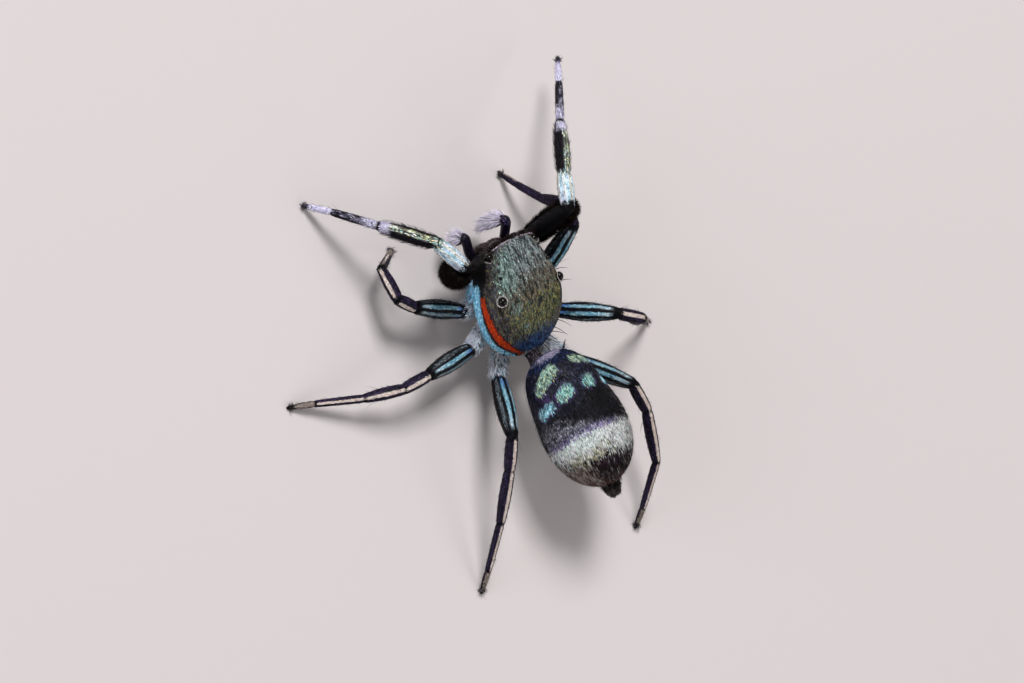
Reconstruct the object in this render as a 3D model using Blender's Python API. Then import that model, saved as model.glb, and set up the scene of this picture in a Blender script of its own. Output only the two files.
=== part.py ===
"""A male Siler hanoicus jumping spider, life size, standing with its right front leg raised.

Sizes are in millimetres until a mesh is written, and in metres from there on. The spider faces
+Y, its left side is -X, and it stands on the plane Z = 0.
"""
import math
import random

import bmesh
import bpy
from mathutils import Matrix, Vector

MM = 0.001

# The whole animal
MARGIN_HEIGHT = 1.0
JOINT_GAP = 0.09
SOCKET_GAP = 0.035

# Carapace: station along Y, half width at the margin, height, squareness of the section
CARAPACE_STATIONS = (
    (-1.27, 0.20, 0.17, 2.2),
    (-1.20, 0.42, 0.25, 2.3),
    (-1.06, 0.66, 0.36, 2.5),
    (-0.85, 0.87, 0.51, 2.8),
    (-0.60, 0.97, 0.64, 3.3),
    (-0.30, 1.00, 0.76, 4.2),
    (0.00, 0.98, 0.81, 5.0),
    (0.40, 0.90, 0.79, 5.0),
    (0.75, 0.785, 0.76, 4.6),
    (0.95, 0.69, 0.735, 4.4),
    (1.08, 0.60, 0.70, 4.2),
    (1.13, 0.53, 0.63, 4.0),
)
CARAPACE_RINGS = 20
CARAPACE_SIDES = 22
CARAPACE_FLOOR = 0.02
CARAPACE_TAPER = 0.08
FACE_FROM_Y = 0.85
FACE_LEAN = 0.15

# Eyes: centre on the right side, radius
EYES = {
    "front_middle": ((0.25, 0.955, 0.42), 0.205),
    "front_side": ((0.60, 0.90, 0.52), 0.12),
    "rear_middle": ((0.63, 0.47, 0.735), 0.045),
    "rear_side": ((0.765, 0.03, 0.72), 0.12),
}

# Underside of the front body
STERNUM_CENTRE_Y = -0.18
STERNUM_HALF_WIDTH = 0.40
STERNUM_HALF_LENGTH = 0.72
STERNUM_TOP = -0.04
STERNUM_BOTTOM = -0.56
MOUTH_FRONT_Y = 0.84
MOUTH_BACK_Y = 0.60
MOUTH_HALF_WIDTH = 0.27
MOUTH_BOTTOM = -0.50
CHELICERA_CENTRE = (0.17, 1.0, -0.05)
CHELICERA_LENGTH = 0.54
CHELICERA_RADIUS = 0.135

# Abdomen
ABDOMEN_CENTRE = (0.265, -2.77, 0.54)
ABDOMEN_HALF_LENGTH = 1.494
ABDOMEN_HALF_WIDTH = 0.927
ABDOMEN_HALF_HEIGHT = 0.84
ABDOMEN_FRONT_BLUNTNESS = 5.6
ABDOMEN_REAR_BLUNTNESS = 1.68
ABDOMEN_REAR_SWELLING = 0.26
ABDOMEN_YAW = 10.7
ABDOMEN_PITCH = 2.0
ABDOMEN_TAIL_CUT = 0.965
ABDOMEN_RINGS = 20
ABDOMEN_SIDES = 28
WAIST_PATH = ((0.0, -1.342, 0.10), (0.02, -1.52, 0.14), (0.06, -1.90, 0.30))
PEDICEL_RADIUS = 0.11
SPINNERET_LENGTH = 0.24
SPINNERET_RADIUS = 0.17

# Legs: lengths of femur, patella, tibia, metatarsus and tarsus
LEG_SPANS = {
    1: (1.38, 0.74, 1.22, 0.95, 0.60),
    2: (1.25, 0.48, 0.68, 0.64, 0.44),
    3: (1.32, 0.58, 0.86, 1.04, 0.52),
    4: (1.52, 0.70, 1.12, 1.04, 0.48),
}
# Where each coxa leaves the sternum: height under the margin and place along the sternum
COXA_ROOT_Y = {1: 0.36, 2: 0.00, 3: -0.36, 4: -0.70}
COXA_ROOT_Z = -0.30
COXA_RADIUS = 0.155
HIP_RADIUS = 0.19
FRONT_LEG_RADII = {"femur": (0.20, 0.25, 0.21), "patella": (0.20, 0.235, 0.20), "tibia": (0.19, 0.225, 0.17)}
OTHER_LEG_RADII = {"femur": (0.19, 0.25, 0.20), "patella": (0.19, 0.22, 0.19), "tibia": (0.18, 0.20, 0.16)}
FOOT_RADII = (0.155, 0.14, 0.125, 0.08)
SOLE_HEIGHT = 0.035

# Brush of black hairs under each front femur: a low core, and locks in rows along it
FRINGE_CORE = 0.10
FRINGE_ROLL = {"left": 36.0, "right": -58.0}
FRINGE_ROWS = (-48, -16, 16, 48)
FRINGE_LOCKS_PER_ROW = 7
FRINGE_REACH = {"left": 0.37, "right": 0.30}
FRINGE_LEAN = 30.0
LOCK_WIDTH = 0.12
LOCK_THICKNESS = 0.055
LOCK_SHAPE = ((-0.35, 0.7), (0.1, 0.95), (0.5, 1.0), (0.82, 0.68), (1.0, 0.2))
LOCK_BEND = 0.35
LOCK_TRIM = 0.02
LOCKS_FROM_TO = (0.10, 0.86)

# Stance: hip, then the heading of each length (degrees outward from straight ahead) and its climb.
# A tarsus with no climb comes down to the floor.
STANCE = {
    ("left", 1): ((-0.96, 0.82, -0.22), (73, 29, 44, 45, 47), (62, -10, -41, -39, None)),
    ("right", 1): ((0.96, 0.82, -0.22), (33, 31, 35, 40, 39), (67, -19, -21, -23, -23)),
    ("left", 2): ((-1.00, 0.00, -0.28), (67, 52, 3, -80, -80), (2, 10, -13, -36, None)),
    ("right", 2): ((1.06, 0.02, -0.28), (41, -12, -11, -14, -13), (34, 12, -72, -53, None)),
    ("left", 3): ((-1.10, -0.74, -0.26), (95, 97, 82, 75, 77), (5, -13, -17, -16, None)),
    ("right", 3): ((1.10, -0.72, -0.24), (120, 119, 106, 107, 107), (51, 3, -63, -39, None)),
    ("left", 4): ((-0.66, -1.48, -0.34), (146, 168, 162, 161, 164), (32, -21, -22, -28, None)),
    ("right", 4): ((0.96, -1.68, -0.18), (133, 159, 180, 198, 192), (17, -12, -12, -31, None)),
}

# Palps: the right one is bent up in front of the face, the left one hangs beside it
PALP_UPPER_RADII = (0.105, 0.11, 0.12, 0.115)
PALP_LOWER_RADII = (0.10, 0.115, 0.13, 0.12, 0.06)
PALP_TUFT_ROWS = (110, 155, 205, 250)
PALP_TUFT_PER_ROW = 4
PALP_TUFT_REACH = 0.12
PALP_TUFT_LEAN = 38.0
PALP_PATHS = {
    "right": (((0.36, 0.76, -0.30), (0.44, 1.00, -0.21), (0.46, 1.20, -0.07), (0.43, 1.38, 0.07)),
              ((0.43, 1.38, 0.07), (0.39, 1.41, -0.08), (0.32, 1.39, -0.30), (0.24, 1.34, -0.52))),
    "left": (((-0.36, 0.76, -0.30), (-0.44, 1.00, -0.24), (-0.48, 1.18, -0.18), (-0.52, 1.34, -0.13)),
             ((-0.52, 1.34, -0.13), (-0.55, 1.37, -0.21), (-0.57, 1.35, -0.33), (-0.575, 1.29, -0.46))),
}


def clear_scene():
    for item in list(bpy.data.objects):
        bpy.data.objects.remove(item, do_unlink=True)


def make_material(name, colour, roughness, metallic=0.0):
    material = bpy.data.materials.new(name)
    material.use_nodes = True
    shader = material.node_tree.nodes["Principled BSDF"]
    shader.inputs["Base Color"].default_value = (*colour, 1.0)
    shader.inputs["Roughness"].default_value = roughness
    shader.inputs["Metallic"].default_value = metallic
    return material


def flow(knots, t):
    """Smooth value at t through knots of (t, value, value ...), by cubic pieces."""
    last = len(knots) - 1
    i = 0
    while i < last - 1 and knots[i + 1][0] < t:
        i += 1
    before, start = knots[max(i - 1, 0)], knots[i]
    end, after = knots[i + 1], knots[min(i + 2, last)]
    span = end[0] - start[0]
    f = min(max((t - start[0]) / span, 0.0), 1.0)
    values = []
    for k in range(1, len(start)):
        slope_in = (end[k] - before[k]) / (end[0] - before[0]) * span
        slope_out = (after[k] - start[k]) / (after[0] - start[0]) * span
        values.append((2 * f**3 - 3 * f**2 + 1) * start[k] + (f**3 - 2 * f**2 + f) * slope_in
                      + (3 * f**2 - 2 * f**3) * end[k] + (f**3 - f**2) * slope_out)
    return values


def sweep(bm, rings):
    """Draws a closed tube through rings with equally many points."""
    made = bmesh.ops.create_circle(bm, cap_ends=True, segments=len(rings[0]), radius=1.0)
    current = made["verts"]
    for vert, place in zip(current, rings[0]):
        vert.co = place
    members = set(current)
    edges = [e for e in bm.edges if e.verts[0] in members and e.verts[1] in members]
    for ring in rings[1:]:
        grown = bmesh.ops.extrude_edge_only(bm, edges=edges)["geom"]
        new_verts = {g for g in grown if isinstance(g, bmesh.types.BMVert)}
        edges = [g for g in grown if isinstance(g, bmesh.types.BMEdge)
                 and g.verts[0] in new_verts and g.verts[1] in new_verts]
        following = []
        for vert in current:
            following.append(next(e.other_vert(vert) for e in vert.link_edges
                                  if e.other_vert(vert) in new_verts))
        for vert, place in zip(following, ring):
            vert.co = place
        current = following
    bm.faces.new(current)


def cut(bm, point, normal):
    """Takes away what lies beyond a plane, on the side its normal points to, and closes the cut."""
    geometry = bm.verts[:] + bm.edges[:] + bm.faces[:]
    result = bmesh.ops.bisect_plane(bm, geom=geometry, dist=0.0001, plane_co=point,
                                    plane_no=normal, clear_outer=True)
    rim = [g for g in result["geom_cut"] if isinstance(g, bmesh.types.BMEdge)]
    if rim:
        bmesh.ops.edgeloop_fill(bm, edges=rim)


def finish_object(name, bm, material):
    """Writes a millimetre bmesh as a mesh object in metres, raised to its height over the floor."""
    bmesh.ops.recalc_face_normals(bm, faces=bm.faces[:])
    for vert in bm.verts:
        vert.co = (vert.co + Vector((0.0, 0.0, MARGIN_HEIGHT))) * MM
    mesh = bpy.data.meshes.new(name)
    bm.to_mesh(mesh)
    bm.free()
    mesh.materials.append(material)
    mesh.shade_smooth()
    mesh.set_sharp_from_angle(angle=math.radians(50))
    item = bpy.data.objects.new(name, mesh)
    bpy.context.scene.collection.objects.link(item)
    return item


def combine(target, others, operation):
    """Joins other closed objects to the target, or cuts them from it, and removes them."""
    group = bpy.data.collections.new("tools")
    for item in others:
        group.objects.link(item)
    modifier = target.modifiers.new("combine", "BOOLEAN")
    modifier.operation = operation
    modifier.operand_type = "COLLECTION"
    modifier.collection = group
    bpy.context.view_layer.update()
    result = bpy.data.meshes.new_from_object(target.evaluated_get(bpy.context.evaluated_depsgraph_get()))
    target.modifiers.clear()
    target.data = result
    for item in others:
        bpy.data.objects.remove(item, do_unlink=True)
    bpy.data.collections.remove(group)


def largest_body(bm):
    """Keeps only the largest closed surface of a mesh."""
    waiting = set(bm.verts)
    bodies = []
    while waiting:
        body, edge = set(), [waiting.pop()]
        while edge:
            vert = edge.pop()
            body.add(vert)
            for link in vert.link_edges:
                other = link.other_vert(vert)
                if other in waiting:
                    waiting.discard(other)
                    edge.append(other)
        bodies.append(body)
    bodies.sort(key=len)
    for body in bodies[:-1]:
        bmesh.ops.delete(bm, geom=list(body), context="VERTS")


def join_locks(item, locks, material, planes):
    """Trims locks just short of the node's joints, fuses them in one union and keeps one body."""
    trimmed = []
    for bm in locks:
        for point, normal in planes:
            cut(bm, point - normal * LOCK_TRIM, normal)
        if bm.faces:
            trimmed.append(finish_object("lock", bm, material))
        else:
            bm.free()
    combine(item, trimmed, "UNION")
    bm = bmesh.new()
    bm.from_mesh(item.data)
    largest_body(bm)
    bmesh.ops.recalc_face_normals(bm, faces=bm.faces[:])
    bm.to_mesh(item.data)
    bm.free()


def frame_of(direction, hint=Vector((0.0, 0.0, -1.0))):
    """Two directions square to the given one: sideways, and the one nearest the hint."""
    side = direction.cross(hint)
    if side.length < 1e-4:
        side = direction.cross(Vector((0.0, 1.0, 0.0)))
    side.normalize()
    return side, side.cross(direction).normalized()


def tube_rings(points, radii, sides, keel=0.0, keel_way=None):
    """Rings round a path. A keel draws them out to one side, most at mid length."""
    rings = []
    last = len(points) - 1
    for i, (point, radius) in enumerate(zip(points, radii)):
        along = (points[min(i + 1, last)] - points[max(i - 1, 0)]).normalized()
        side, down = frame_of(along, keel_way if keel_way else Vector((0.0, 0.0, -1.0)))
        f = i / last
        ring = []
        for k in range(sides):
            angle = 2 * math.pi * k / sides
            reach = radius + keel * math.sin(math.pi * f)**0.7 * max(0.0, math.cos(angle))**3
            ring.append(point + down * math.cos(angle) * reach + side * math.sin(angle) * radius)
        rings.append(ring)
    return rings


def spread(values, f):
    """Value at f, 0 to 1, of a few values given at even steps."""
    return flow([(i / (len(values) - 1), v) for i, v in enumerate(values)], f)[0]


def limb(name, points, radii, material, start_cut, end_cut, sides=12, steps=9, **keel):
    """A straight or bent limb length, run past both joints and parted there by the two planes."""
    path = [(i / (len(points) - 1), *p) for i, p in enumerate(points)]
    along, widths = [], []
    for i in range(steps + 1):
        f = i / steps
        along.append(Vector(flow(path, f)))
        widths.append(spread(radii, f))
    bm = bmesh.new()
    before, after = widths[0], widths[-1]
    first = (along[0] - along[1]).normalized() * before * (1.6 if start_cut else 0.0)
    final = (along[-1] - along[-2]).normalized() * after * (1.6 if end_cut else 0.0)
    if start_cut:
        along.insert(0, along[0] + first)
        widths.insert(0, before)
    if end_cut:
        along.append(along[-1] + final)
        widths.append(after)
    sweep(bm, tube_rings(along, widths, sides, **keel))
    for plane in (start_cut, end_cut):
        if plane:
            cut(bm, *plane)
    return bm, name, material


def lock(root, way, reach, bend):
    """One flat, tapered lock of hair from inside its node out to its tip, bent towards a way."""
    flat, _ = frame_of(way, bend)
    over = way.cross(flat).normalized()
    rings = []
    for f, breadth in LOCK_SHAPE:
        middle = root + way * reach * f + bend * reach * LOCK_BEND * max(f, 0.0)**2
        wide = flat * LOCK_WIDTH * breadth
        thick = over * LOCK_THICKNESS * breadth
        rings.append([middle + wide, middle + thick, middle - wide, middle - thick])
    bm = bmesh.new()
    sweep(bm, rings)
    return bm


def rows_of_locks(points, radii, rows, per_row, reach, lean, keel_way, seed):
    """Locks along a path, in rows at angles round it, leaning towards its far end."""
    draw = random.Random(seed)
    path = [(i / (len(points) - 1), *p) for i, p in enumerate(points)]
    first, last = LOCKS_FROM_TO
    made = []
    for row_index, row in enumerate(rows):
        for i in range(per_row):
            f = first + (last - first) * (i + 0.5 * (row_index % 2)) / per_row
            here = Vector(flow(path, f))
            along = (Vector(flow(path, f + 0.05)) - Vector(flow(path, f - 0.05))).normalized()
            down = frame_of(along, keel_way)[1]
            outward = Matrix.Rotation(math.radians(row + draw.uniform(-6, 6)), 3, along) @ down
            tilt = math.radians(lean + draw.uniform(-5, 5))
            way = (outward * math.cos(tilt) + along * math.sin(tilt)).normalized()
            length = reach * math.sin(math.pi * (0.12 + 0.80 * f))**0.6 * draw.uniform(0.9, 1.08)
            root = here + outward * spread(radii, f) * 0.8
            made.append(lock(root, way, length, along))
    return made


def bearing(side, heading, climb):
    """Direction of a leg length from its heading and climb in degrees."""
    sign = -1.0 if side == "left" else 1.0
    h, e = math.radians(heading), math.radians(climb)
    return Vector((sign * math.sin(h) * math.cos(e), math.cos(h) * math.cos(e), math.sin(e)))


def joint_planes(joint, before, after):
    """The two faces of a joint: one closes the length before it, one opens the length after it."""
    normal = (before + after).normalized()
    half = normal * JOINT_GAP / 2
    return (joint - half, normal), (joint + half, -normal)


def build_leg(side, number, colours):
    hip, headings, climbs = STANCE[(side, number)]
    spans = LEG_SPANS[number]
    joints = [Vector(hip)]
    ways = []
    for span, heading, climb in zip(spans, headings, climbs):
        if climb is None:
            drop = joints[-1].z + MARGIN_HEIGHT - SOLE_HEIGHT
            climb = -math.degrees(math.asin(drop / span))
        ways.append(bearing(side, heading, climb))
        joints.append(joints[-1] + ways[-1] * span)
    sign = -1.0 if side == "left" else 1.0
    root_y = COXA_ROOT_Y[number]
    offset = (root_y - STERNUM_CENTRE_Y) / STERNUM_HALF_LENGTH
    root = Vector((sign * STERNUM_HALF_WIDTH * math.sqrt(1 - offset**2), root_y, COXA_ROOT_Z))
    outward = Vector((root.x / STERNUM_HALF_WIDTH**2,
                      (root_y - STERNUM_CENTRE_Y) / STERNUM_HALF_LENGTH**2, 0.0)).normalized()
    coxa_way = (joints[0] - root).normalized()
    label = f"leg_{number}_{side}"
    hip_close, hip_open = joint_planes(joints[0], coxa_way, ways[0])
    knee_close, knee_open = joint_planes(joints[1], ways[0], ways[1])
    patella_close, patella_open = joint_planes(joints[2], ways[1], ways[2])
    tibia_close, tibia_open = joint_planes(joints[3], ways[2], ways[3])
    root_plane = (root + outward * JOINT_GAP * 0.7, -outward)
    pieces = [
        limb(f"{label}_coxa", (root, (root + joints[0]) / 2, joints[0]),
             (COXA_RADIUS, (COXA_RADIUS + HIP_RADIUS) / 2, HIP_RADIUS), colours["coxa"],
             root_plane, hip_close, steps=4),
    ]
    radii = FRONT_LEG_RADII if number == 1 else OTHER_LEG_RADII
    keel = {}
    locks = []
    if number == 1:
        keel_way = Matrix.Rotation(math.radians(FRINGE_ROLL[side]), 3, ways[0]) @ frame_of(ways[0])[1]
        keel = {"keel": FRINGE_CORE, "keel_way": keel_way}
        locks = rows_of_locks(joints[0:2], radii["femur"], FRINGE_ROWS, FRINGE_LOCKS_PER_ROW,
                              FRINGE_REACH[side], FRINGE_LEAN, keel_way, seed=len(side))
    pieces.append(limb(f"{label}_femur", joints[0:2], radii["femur"], colours["femur"],
                       hip_open, knee_close, **keel))
    pieces.append(limb(f"{label}_patella", joints[1:3], radii["patella"], colours["patella"],
                       knee_open, patella_close, steps=6))
    pieces.append(limb(f"{label}_tibia", joints[2:4], radii["tibia"], colours["tibia"],
                       patella_open, tibia_close, steps=7))
    foot_middle = (joints[3] + joints[4]) / 2
    pieces.append(limb(f"{label}_foot", (joints[3], foot_middle, joints[4], joints[5]), FOOT_RADII,
                       colours["foot"], tibia_open, None, steps=10))
    for bm, name, material in pieces:
        if name.endswith("foot"):
            cut(bm, Vector((0.0, 0.0, -MARGIN_HEIGHT)), Vector((0.0, 0.0, -1.0)))
        item = finish_object(name, bm, material)
        if name.endswith("femur") and locks:
            join_locks(item, locks, material, (hip_open, knee_close))


def carapace_ring(y):
    """Section of the carapace at a station: a squared arch over a flat underside."""
    half_width, height, square = flow(CARAPACE_STATIONS, y)
    front = max(0.0, (y - FACE_FROM_Y) / (CARAPACE_STATIONS[-1][0] - FACE_FROM_Y))
    ring = []
    for k in range(CARAPACE_SIDES + 1):
        angle = math.pi * k / CARAPACE_SIDES
        rise = abs(math.sin(angle))**(2 / square)
        reach = math.copysign(abs(math.cos(angle))**(2 / square), math.cos(angle))
        taper = 1 - CARAPACE_TAPER * rise
        ring.append(Vector((half_width * taper * reach, y - FACE_LEAN * front * (1 - rise),
                            CARAPACE_FLOOR + (height - CARAPACE_FLOOR) * rise)))
    return ring


def build_carapace(material):
    bm = bmesh.new()
    start, end = CARAPACE_STATIONS[0][0], CARAPACE_STATIONS[-1][0]
    rings = []
    for i in range(CARAPACE_RINGS):
        f = 0.5 - 0.5 * math.cos(math.pi * i / (CARAPACE_RINGS - 1))
        rings.append(carapace_ring(start + (end - start) * f))
    sweep(bm, rings)
    return finish_object("carapace", bm, material)


def build_ball(name, centre, radius, material, segments=14):
    bm = bmesh.new()
    bmesh.ops.create_uvsphere(bm, u_segments=segments, v_segments=segments // 2 + 1, radius=radius)
    bmesh.ops.translate(bm, verts=bm.verts[:], vec=Vector(centre))
    return finish_object(name, bm, material)


def build_eyes(carapace, material, cutter_material):
    cutters = []
    for row, (centre, radius) in EYES.items():
        for side, sign in (("left", -1.0), ("right", 1.0)):
            place = (sign * centre[0], centre[1], centre[2])
            build_ball(f"eye_{row}_{side}", place, radius, material)
            cutters.append(build_ball("socket", place, radius + SOCKET_GAP, cutter_material, 16))
    combine(carapace, cutters, "DIFFERENCE")


def build_sternum(material):
    bm = bmesh.new()
    rings = []
    for height, scale in ((STERNUM_TOP, 0.97), (STERNUM_TOP - 0.12, 1.0), (STERNUM_BOTTOM + 0.14, 0.98),
                          (STERNUM_BOTTOM + 0.04, 0.86), (STERNUM_BOTTOM, 0.66)):
        rings.append([Vector((STERNUM_HALF_WIDTH * scale * math.cos(2 * math.pi * k / 24),
                              STERNUM_CENTRE_Y + STERNUM_HALF_LENGTH * scale
                              * math.sin(2 * math.pi * k / 24), height)) for k in range(24)])
    sweep(bm, rings)
    finish_object("sternum", bm, material)


def rounded_block(name, centre, half_sizes, power, material):
    """A block with round edges: a ball whose sections are squared up."""
    bm = bmesh.new()
    bmesh.ops.create_uvsphere(bm, u_segments=20, v_segments=12, radius=1.0)
    for vert in bm.verts:
        way = vert.co.normalized()
        size = sum(abs(c)**power for c in way)**(-1 / power)
        vert.co = Vector(centre) + Vector([c * size * h for c, h in zip(way, half_sizes)])
    return bm, name, material


def build_mouth(materials):
    middle = (0.0, (MOUTH_FRONT_Y + MOUTH_BACK_Y) / 2, (STERNUM_TOP + MOUTH_BOTTOM) / 2)
    halves = (MOUTH_HALF_WIDTH, (MOUTH_FRONT_Y - MOUTH_BACK_Y) / 2, (STERNUM_TOP - MOUTH_BOTTOM) / 2)
    bm, name, material = rounded_block("mouthparts", middle, halves, 5.0, materials["sternum"])
    finish_object(name, bm, material)
    for side, sign in (("left", -1.0), ("right", 1.0)):
        top = Vector((sign * CHELICERA_CENTRE[0], CHELICERA_CENTRE[1], CHELICERA_CENTRE[2]))
        middle = top - Vector((0.0, 0.0, CHELICERA_LENGTH / 2))
        halves = (CHELICERA_RADIUS, CHELICERA_RADIUS * 1.05, CHELICERA_LENGTH / 2)
        bm, name, material = rounded_block(f"chelicera_{side}", middle, halves, 3.2, materials["jaw"])
        finish_object(name, bm, material)


def build_palps(colours):
    for side, (upper, lower) in PALP_PATHS.items():
        sign = -1.0 if side == "left" else 1.0
        upper = [Vector(p) for p in upper]
        lower = [Vector(p) for p in lower]
        close, opening = joint_planes(upper[-1], (upper[-1] - upper[-2]).normalized(),
                                      (lower[1] - lower[0]).normalized())
        wall = Vector((sign * (MOUTH_HALF_WIDTH + JOINT_GAP * 0.6), 0.0, 0.0))
        root = (wall, Vector((-sign, 0.0, 0.0)))
        bm, name, material = limb(f"palp_{side}_upper", upper, PALP_UPPER_RADII, colours["palp"],
                                  root, close)
        finish_object(name, bm, material)
        bm, name, material = limb(f"palp_{side}_lower", lower, PALP_LOWER_RADII, colours["palp"],
                                  opening, None)
        item = finish_object(name, bm, material)
        locks = rows_of_locks(lower, PALP_LOWER_RADII, PALP_TUFT_ROWS, PALP_TUFT_PER_ROW,
                              PALP_TUFT_REACH, PALP_TUFT_LEAN, Vector((0.0, -1.0, 0.0)),
                              seed=3 + len(side))
        join_locks(item, locks, material, (opening,))


def abdomen_axis():
    yaw, pitch = math.radians(ABDOMEN_YAW), math.radians(ABDOMEN_PITCH)
    return Vector((math.sin(yaw) * math.cos(pitch), -math.cos(yaw) * math.cos(pitch), math.sin(pitch)))


def abdomen_girth(s):
    """Share of the full width at s, from -1 at the front to 1 at the tail."""
    blunt = ABDOMEN_FRONT_BLUNTNESS if s < 0 else ABDOMEN_REAR_BLUNTNESS
    return math.sqrt(max(0.0, 1 - abs(s)**blunt)) * (1 + ABDOMEN_REAR_SWELLING * s)


def build_abdomen(materials):
    axis = abdomen_axis()
    side, down = frame_of(axis)
    centre = Vector(ABDOMEN_CENTRE)
    rings = []
    for i in range(1, ABDOMEN_RINGS):
        s = -math.cos(math.pi * i / ABDOMEN_RINGS)
        middle = centre + axis * s * ABDOMEN_HALF_LENGTH
        across = side * abdomen_girth(s) * ABDOMEN_HALF_WIDTH
        below = down * abdomen_girth(s) * ABDOMEN_HALF_HEIGHT
        turns = [2 * math.pi * k / ABDOMEN_SIDES for k in range(ABDOMEN_SIDES)]
        rings.append([middle + across * math.sin(a) + below * math.cos(a) for a in turns])
    bm = bmesh.new()
    sweep(bm, rings)
    cut(bm, centre + axis * ABDOMEN_HALF_LENGTH * ABDOMEN_TAIL_CUT, axis)
    abdomen = finish_object("abdomen", bm, materials["abdomen"])
    waist = [Vector(place) for place in WAIST_PATH]
    bm, name, material = limb("pedicel", waist, (PEDICEL_RADIUS, PEDICEL_RADIUS, PEDICEL_RADIUS),
                              materials["abdomen"], None, None, steps=5)
    combine(abdomen, [finish_object(name, bm, material)], "UNION")
    root = centre + axis * (ABDOMEN_HALF_LENGTH * ABDOMEN_TAIL_CUT + JOINT_GAP * 0.7)
    tip = root + axis * SPINNERET_LENGTH
    bm, name, material = limb("spinnerets", (root, (root + tip) / 2, tip),
                              (SPINNERET_RADIUS, SPINNERET_RADIUS * 0.85, SPINNERET_RADIUS * 0.45),
                              materials["jaw"], None, None, steps=4)
    finish_object(name, bm, material)


def centre_on_floor():
    """Moves the whole spider so that the middle of its box stands over the origin."""
    corners = [v.co for item in bpy.data.objects for v in item.data.vertices]
    low = [min(c[k] for c in corners) for k in range(3)]
    high = [max(c[k] for c in corners) for k in range(3)]
    shift = Vector((-(low[0] + high[0]) / 2, -(low[1] + high[1]) / 2, 0.0))
    for item in bpy.data.objects:
        for vert in item.data.vertices:
            vert.co = vert.co + shift


def build_spider():
    clear_scene()
    colours = {
        "carapace": make_material("teal_scaled_carapace", (0.10, 0.19, 0.15), 0.45, 0.3),
        "eye": make_material("black_eye_lens", (0.004, 0.004, 0.005), 0.06),
        "abdomen": make_material("black_scaled_abdomen", (0.012, 0.012, 0.02), 0.5),
        "jaw": make_material("brown_black_cuticle", (0.02, 0.012, 0.012), 0.35),
        "sternum": make_material("dark_sternum", (0.03, 0.025, 0.03), 0.5),
        "coxa": make_material("pale_haired_coxa", (0.25, 0.33, 0.32), 0.6),
        "femur": make_material("black_blue_femur", (0.02, 0.05, 0.08), 0.4),
        "patella": make_material("white_green_patella", (0.35, 0.42, 0.38), 0.5),
        "tibia": make_material("violet_black_tibia", (0.06, 0.05, 0.07), 0.45),
        "foot": make_material("cream_striped_foot", (0.30, 0.25, 0.22), 0.55),
        "palp": make_material("violet_palp", (0.10, 0.08, 0.13), 0.6),
        "tool": make_material("cutter", (0.5, 0.5, 0.5), 0.5),
    }
    carapace = build_carapace(colours["carapace"])
    build_eyes(carapace, colours["eye"], colours["tool"])
    build_sternum(colours["sternum"])
    build_mouth({"sternum": colours["sternum"], "jaw": colours["jaw"]})
    build_palps(colours)
    build_abdomen(colours)
    for side, number in STANCE:
        build_leg(side, number, colours)
    centre_on_floor()


build_spider()
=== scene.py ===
"""The looks of a male Siler hanoicus jumping spider, a life-size still model on a plain floor.

Sizes are in millimetres in the animal's own frame: +Y is the way it faces, +X its right side, and
Z counts up from the lower edge of the head shield. They turn to metres when a mesh is written.
"""

import math
from functools import partial

import bmesh
import bpy
import numpy as np
from mathutils import Matrix, Vector


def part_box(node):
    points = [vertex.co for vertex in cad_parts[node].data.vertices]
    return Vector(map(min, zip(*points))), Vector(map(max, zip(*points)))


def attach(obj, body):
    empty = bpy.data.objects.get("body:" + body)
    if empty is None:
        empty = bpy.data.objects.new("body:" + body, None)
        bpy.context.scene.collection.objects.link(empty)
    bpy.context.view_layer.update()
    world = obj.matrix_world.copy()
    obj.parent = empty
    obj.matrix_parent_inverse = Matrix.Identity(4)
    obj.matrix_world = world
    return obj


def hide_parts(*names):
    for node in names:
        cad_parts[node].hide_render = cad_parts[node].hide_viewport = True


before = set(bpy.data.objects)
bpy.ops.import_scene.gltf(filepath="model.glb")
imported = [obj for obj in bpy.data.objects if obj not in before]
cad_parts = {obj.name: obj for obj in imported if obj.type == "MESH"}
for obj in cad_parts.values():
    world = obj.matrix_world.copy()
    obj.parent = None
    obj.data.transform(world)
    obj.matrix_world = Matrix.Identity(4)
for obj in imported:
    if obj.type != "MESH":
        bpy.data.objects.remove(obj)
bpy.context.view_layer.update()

# Head shield (carapace)
# One arched plate of hard cuticle over the head and chest. It is swept from cross sections
# along the body, and its edge sits low over the roots of the legs.
MM = 0.001
REAR_EYES_MIDDLE = Vector((0.0, 0.03, 0.72))
eye_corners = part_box("eye_rear_side_left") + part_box("eye_rear_side_right")
BODY_PLACE = sum(eye_corners, Vector()) / 4 / MM - REAR_EYES_MIDDLE
# Place along the body, half width, height, and squareness of the section
SHIELD_STATIONS = (
    (-1.27, 0.20, 0.17, 2.2),
    (-1.20, 0.42, 0.25, 2.3),
    (-1.06, 0.66, 0.36, 2.5),
    (-0.85, 0.87, 0.51, 2.8),
    (-0.60, 0.97, 0.64, 3.3),
    (-0.30, 1.00, 0.76, 4.2),
    (0.00, 0.98, 0.81, 5.0),
    (0.40, 0.90, 0.79, 5.0),
    (0.75, 0.785, 0.76, 4.6),
    (0.95, 0.69, 0.735, 4.4),
    (1.08, 0.60, 0.70, 4.2),
    (1.13, 0.53, 0.63, 4.0),
)
SHIELD_TAPER = 0.08
SHIELD_FLOOR = 0.02
FACE_FROM_Y = 0.85
FACE_LEAN = 0.15
COAT_DEPTH = 0.025
SHIELD_HALF_LENGTH = 1.2
SHIELD_RINGS = 92
RING_CROWDING = 0.12
ARC_STEPS = 721
ARC_POINTS = 105


def linear(hex_colour):
    """An sRGB hex colour as linear red, green and blue."""
    parts = [int(hex_colour[i:i + 2], 16) / 255 for i in (0, 2, 4)]
    return tuple(c / 12.92 if c <= 0.04045 else ((c + 0.055) / 1.055)**2.4 for c in parts)


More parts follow.
